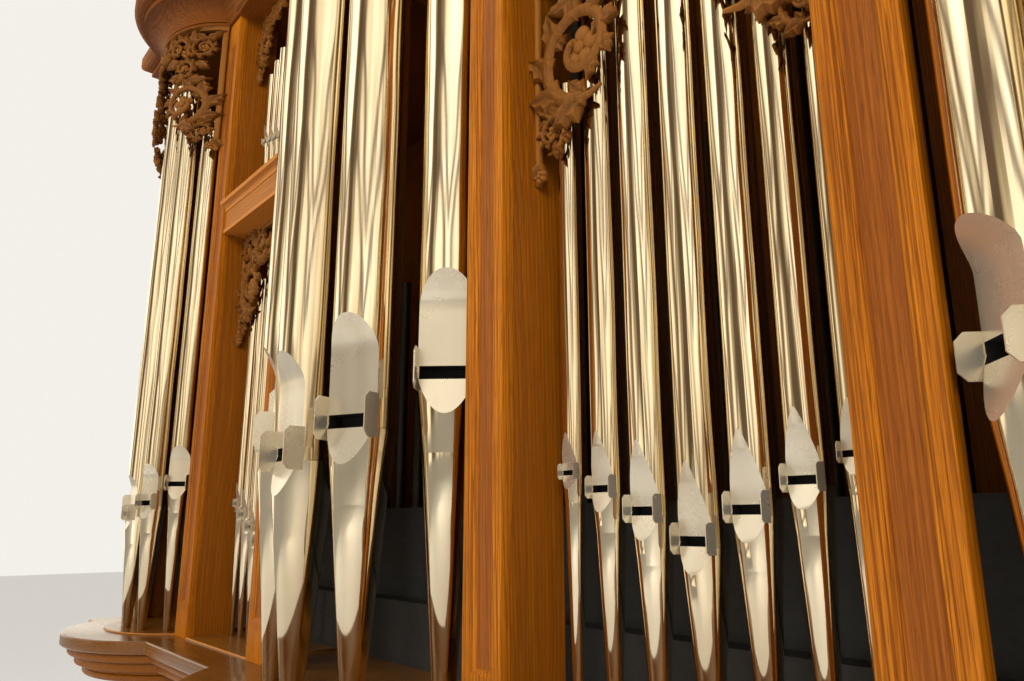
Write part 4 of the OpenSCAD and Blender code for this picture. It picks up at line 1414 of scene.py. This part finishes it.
def round_shade(x, width, bow, z, height):
    """A shade bent to the round of a tower: its points keep their place across."""
    shade = carving(width / 2, height, level)
    radius, heart = arc_radius(width, bow), arc_heart(width, bow)
    for v in shade.data.vertices:
        turn = math.asin(v.co.x / radius)
        out = radius - SHADE_GAP - v.co.y
        v.co.x = x + out * math.sin(turn)
        v.co.y = heart - out * math.cos(turn)
        v.co.z += z
    return shade


def sweep_top(heart_x, run, rise):
    """Height of the curved moulding's underside, across the flat."""
    radius = (run * run + rise * rise) / (2 * rise)
    return lambda x: radius - math.sqrt(max(0, radius**2 - (x - heart_x)**2))


# %% All the shades
CENTRE_CARVING, TOWER_CARVING, END_CARVING = 0.660, 0.760, 0.520
INNER_CARVING, FLAT_CARVING, TOP_CARVING = 0.600, 0.400, 0.260

stand_for(round_shade(0, CENTRE_W, CENTRE_BOW, CENTRE_Z, CENTRE_CARVING), "shade_centre")
both_sides("shade_tower", round_shade(TOWER_X, TOWER_W, TOWER_BOW, TOWER_Z, TOWER_CARVING))
both_sides("shade_end", round_shade(END_X, END_W, END_BOW, LOW_Z, END_CARVING))
for name, x, width, rail_z, low_height, top, curve in (
        ("shade_inner", INNER_X, INNER_W, INNER_RAIL, INNER_CARVING, INNER_Z,
         sweep_top(0, INNER_W / 2, INNER_SWEEP)),
        ("shade_flat", FLAT_X, FLAT_W, FLAT_RAIL, FLAT_CARVING, LOW_Z,
         sweep_top(FLAT_W / 2, FLAT_W, FLAT_SWEEP))):
    lower_shade = flat_shade(x, width, rail_z, low_height)
    upper_shade = flat_shade(x, width, top, TOP_CARVING, curve)
    both_sides(name, join(name, [lower_shade, upper_shade]))
for pattern in (leaf_pattern, rosette_pattern, scroll_pattern):
    bpy.data.objects.remove(pattern, do_unlink=True)

# %% [markdown]
# ## Lower case, sides and back
#
# The lower case is a frame of stiles and rails round raised panels, on a moulded plinth.
# The photo doesn't show it, so it is plain, with the woods of the front. Its openings are
# cut with boxes, and their edges get a small moulding. A raised panel is the opposite of
# a sunk one: the inset steps rise.

# %% Plinth, frame and panels
PLINTH_H, PLINTH_OUT, RAIL_LOW = 0.130, 0.018, 0.120
PANEL_BACK, PANEL_FRAME = 0.014, 0.030
PANEL_RISE = ((0.001, -0.002), (0.026, -0.003), (0.001, -0.0008))

plinth = box_piece("plinth", (-HALF_W - PLINTH_OUT, LOWER - PLINTH_OUT, 0),
                   (HALF_W + PLINTH_OUT, BACK + PLINTH_OUT, PLINTH_H))
edit(plinth)
pick("EDGE", lambda e: all(v.co.z > PLINTH_H - NEAR for v in e.verts))
bpy.ops.mesh.bevel(offset=0.014, segments=5, profile=0.25, affect="EDGES")
done()
smooth(plinth, FRAMED)
ease(plinth, 0.002)
dress(plinth, "oak_crown")
stand_for(plinth, "plinth")

opening_low, opening_high = PLINTH_H + RAIL_LOW, UNDER - RAIL_LOW
lower_frame = box_piece("lower_frame", (-HALF_W, LOWER, PLINTH_H), (HALF_W, LOWER + BOARD, UNDER))
for x, width, _ in BAYS:
    cut(lower_frame, box_piece("hole", (x - width / 2, LOWER - 0.1, opening_low),
                               (x + width / 2, LOWER + 0.1, opening_high)))
edit(lower_frame)
pick("EDGE", lambda e: all(v.co.y < LOWER + NEAR and abs(v.co.x) < HALF_W - 0.01
                           and PLINTH_H + 0.01 < v.co.z < UNDER - 0.01 for v in e.verts)
     and any(abs(f.normal.y) < 0.1 for f in e.link_faces))
bpy.ops.mesh.bevel(offset=0.010, segments=5, profile=0.3, affect="EDGES")
done()
dress(lower_frame, "oak_post")
smooth(lower_frame, FRAMED)
stand_for(lower_frame, "lower_frame")

panels = []
for x, width, _ in BAYS:
    panel = box_piece("panel", (x - width / 2, LOWER + PANEL_BACK, opening_low),
                      (x + width / 2, LOWER + BOARD, opening_high))
    dress(panel, "oak_panel")
    sink_panel(panel, lambda f: f.normal.y < -0.9, PANEL_FRAME, PANEL_RISE)
    ease(panel, 0.0006)
    panels.append(panel)
stand_for(join("lower_panels", panels), "lower_panels")

# %% [markdown]
# ## Panelled walls
#
# Sides and back are boards in a frame. One box is sliced into a grid, and every cell of
# its outer face is inset by itself, so that frame and sunk fields stay one mesh.

# %% Walls with a grid of sunk fields
GRID_FRAME, GRID_MOULD = 0.055, ((0.003, 0.004), (0.005, 0.001), (0.004, 0.003))


def grid_wall(name, low, high, outward, columns, rows):
    """A board whose outer face holds columns and rows of sunk fields."""
    board = box_piece(name, low, high)
    dress(board, "oak_wall")
    low, high, outward = Vector(low), Vector(high), Vector(outward)
    across = Vector((abs(outward.y), abs(outward.x), 0))
    edit(board)
    for count, way in ((columns, across), (rows, Vector((0, 0, 1)))):
        size = abs((high - low).dot(way))
        for i in range(1, count):
            bpy.ops.mesh.select_all(action="SELECT")
            bpy.ops.mesh.bisect(plane_co=low + way * size * i / count, plane_no=way)
    pick("FACE", lambda f: f.normal.dot(outward) > 0.9)
    bpy.ops.mesh.inset(thickness=GRID_FRAME, use_individual=True)
    for wide, deeper in GRID_MOULD:
        bpy.ops.mesh.inset(thickness=wide, depth=-deeper, use_individual=True)
    dress(board, "oak_panel")
    dress_picked(1)
    done()
    ease(board)
    return board


side_in, back_in = HALF_W - BOARD, BACK - BOARD
low_side = grid_wall("side", (side_in, LOWER + BOARD, PLINTH_H), (HALF_W, back_in, UNDER), (1, 0, 0), 2, 1)
high_side = grid_wall("side", (side_in, FRONT + BOARD, SHELF), (HALF_W, back_in, LOW_Z), (1, 0, 0), 2, 2)
both_sides("case_side", join("case_side", [low_side, high_side]))
low_back = grid_wall("back", (-HALF_W, back_in, PLINTH_H), (HALF_W, BACK, UNDER), (0, 1, 0), 7, 1)
high_back = grid_wall("back", (-HALF_W, back_in, SHELF), (HALF_W, BACK, LOW_Z), (0, 1, 0), 7, 2)
stand_for(join("case_back", [low_back, high_back]), "case_back")

# %% [markdown]
# ## Light and floor
#
# Plain studio light shows the finishes as they are. Three large soft lamps stand in front
# and one behind. The world is pale where the camera looks at it, and dimmer as a light
# source, so that the shapes keep their shadows. Polished metal shows little but what it
# mirrors, so the pipes see a studio of their own, with bright panels and thin ribs.

# %% Floor, world and lamps
PALE = (0.80, 0.78, 0.74, 1.0)

start_clean()
bpy.ops.mesh.primitive_plane_add(size=60, location=(0, 0, -0.002))
floor = bpy.context.object
floor.name = "studio_floor"
floor_material = bpy.data.materials.new("studio_floor")
floor_material.use_nodes = True
floor.data.materials.append(floor_material)

floor_tree = floor_material.node_tree
floor_shader = floor_tree.nodes["Principled BSDF"]
feed(floor_tree, floor_shader, {"Base Color": PALE, "Roughness": 0.8})
floor_ray = node(floor_tree, "ShaderNodeLightPath")
floor_glow = node(floor_tree, "ShaderNodeEmission", {"Color": (0.86, 0.83, 0.78, 1), "Strength": 1.0})
floor_mix = node(floor_tree, "ShaderNodeMixShader", {
    0: times(floor_tree, floor_ray.outputs["Is Camera Ray"], 0.55),
    1: floor_shader.outputs[0], 2: floor_glow.outputs[0]})
feed(floor_tree, floor_tree.nodes["Material Output"], {"Surface": floor_mix.outputs[0]})

world = bpy.data.worlds.new("studio")
bpy.context.scene.world = world
world.use_nodes = True
tree = world.node_tree
tree.nodes.clear()
ray = node(tree, "ShaderNodeLightPath")
# polished metal mirrors a pale studio with darker gaps
PANELS = [(0.38, (0.14, 0.10, 0.06)), (0.46, (0.50, 0.40, 0.26))]
PANELS += [(0.53, (1.32, 1.14, 0.86)), (0.66, (1.95, 1.83, 1.58))]
heading = node(tree, "ShaderNodeTexCoord").outputs["Generated"]
gaps = noise(tree, stretch(tree, heading, (1, 1, 0.55)), 2.3, 1.5)
mirrored_colour = ramp(tree, gaps, PANELS)
# the thin ribs of three rows of pointed arches cross it, which the pipes draw out
RIB_HALF, RIB_FALL, RIB_TOPS = math.pi / 4, 0.30, (0.57, 0.46, 0.20)
RIB_EDGE = [(0.0, grey(0.9)), (0.016, grey(0.7)), (0.040, grey(0.0))]
RIB_COLOUR = (0.17, 0.11, 0.08, 1)
parts = node(tree, "ShaderNodeSeparateXYZ", {0: heading}).outputs
turn = math_node(tree, "ARCTAN2", parts["X"], parts["Y"])
fall = math_node(tree, "POWER", math_node(tree, "PINGPONG", turn, RIB_HALF), 1.4)
fall = times(tree, fall, RIB_FALL)
for rib_top in RIB_TOPS:
    over = math_node(tree, "SUBTRACT", plus(tree, parts["Z"], fall), rib_top)
    rib = ramp(tree, math_node(tree, "ABSOLUTE", over, 0), RIB_EDGE)
    mirrored_colour = mix_colour(tree, rib, mirrored_colour, RIB_COLOUR)
background = mix_colour(tree, ray.outputs["Is Camera Ray"], mirrored_colour, (0.90, 0.87, 0.82, 1))
seen = math_node(tree, "MAXIMUM", ray.outputs["Is Camera Ray"], ray.outputs["Is Glossy Ray"])
seen = math_node(tree, "MAXIMUM", seen, ray.outputs["Is Transmission Ray"])
lit = node(tree, "ShaderNodeBackground", {"Color": (1.0, 0.97, 0.92, 1), "Strength": 0.42})
shown = node(tree, "ShaderNodeBackground", {"Color": background, "Strength": 1.0})
mix = node(tree, "ShaderNodeMixShader", {0: seen, 1: lit.outputs[0], 2: shown.outputs[0]})
node(tree, "ShaderNodeOutputWorld", {"Surface": mix.outputs[0]})
bpy.context.scene.view_settings.view_transform = "Standard"


def lamp(name, place, target, size, watts):
    """A square soft lamp that points at a target and isn't mirrored."""
    data = bpy.data.lights.new(name, "AREA")
    data.shape = "SQUARE"
    data.size, data.energy = size, watts
    data.color = (1.0, 0.97, 0.93)
    light = bpy.data.objects.new(name, data)
    light.location = place
    light.visible_glossy = False
    light.rotation_euler = (Vector(target) - Vector(place)).to_track_quat("-Z", "Y").to_euler()
    bpy.context.scene.collection.objects.link(light)


lamp("key", (4.5, -6.5, 6.0), (0, 0, 2.4), 3.5, 520)
lamp("fill", (-6.5, -5.0, 4.0), (0, 0, 2.0), 4.0, 220)
lamp("low_front", (1.0, -7.5, 2.2), (0, 0, 2.0), 3.0, 100)
lamp("behind", (1.0, 7.0, 6.0), (0, 0, 2.2), 4.0, 420)

# %% [markdown]
# ## Solids that stay
#
# Some plain solids of the frame have their true shape already: the chest and the dark
# pipes inside. They only take a finish.

# %% Finishes of the solids that stay
# the wind chest's near-black paint also paints the shade inside the case
STAYING = {"wind_chest": "painted_board", "inner_pipes": "zinc"}
staying = [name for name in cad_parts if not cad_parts[name].hide_render]
for name in staying:
    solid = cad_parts[name]
    solid.data.materials.clear()
    dress(solid, STAYING.get(name, "oak_wall"))
print("solids that stay:", staying)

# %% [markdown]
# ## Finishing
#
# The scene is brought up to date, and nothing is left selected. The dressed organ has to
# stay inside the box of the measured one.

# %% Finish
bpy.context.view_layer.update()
start_clean()
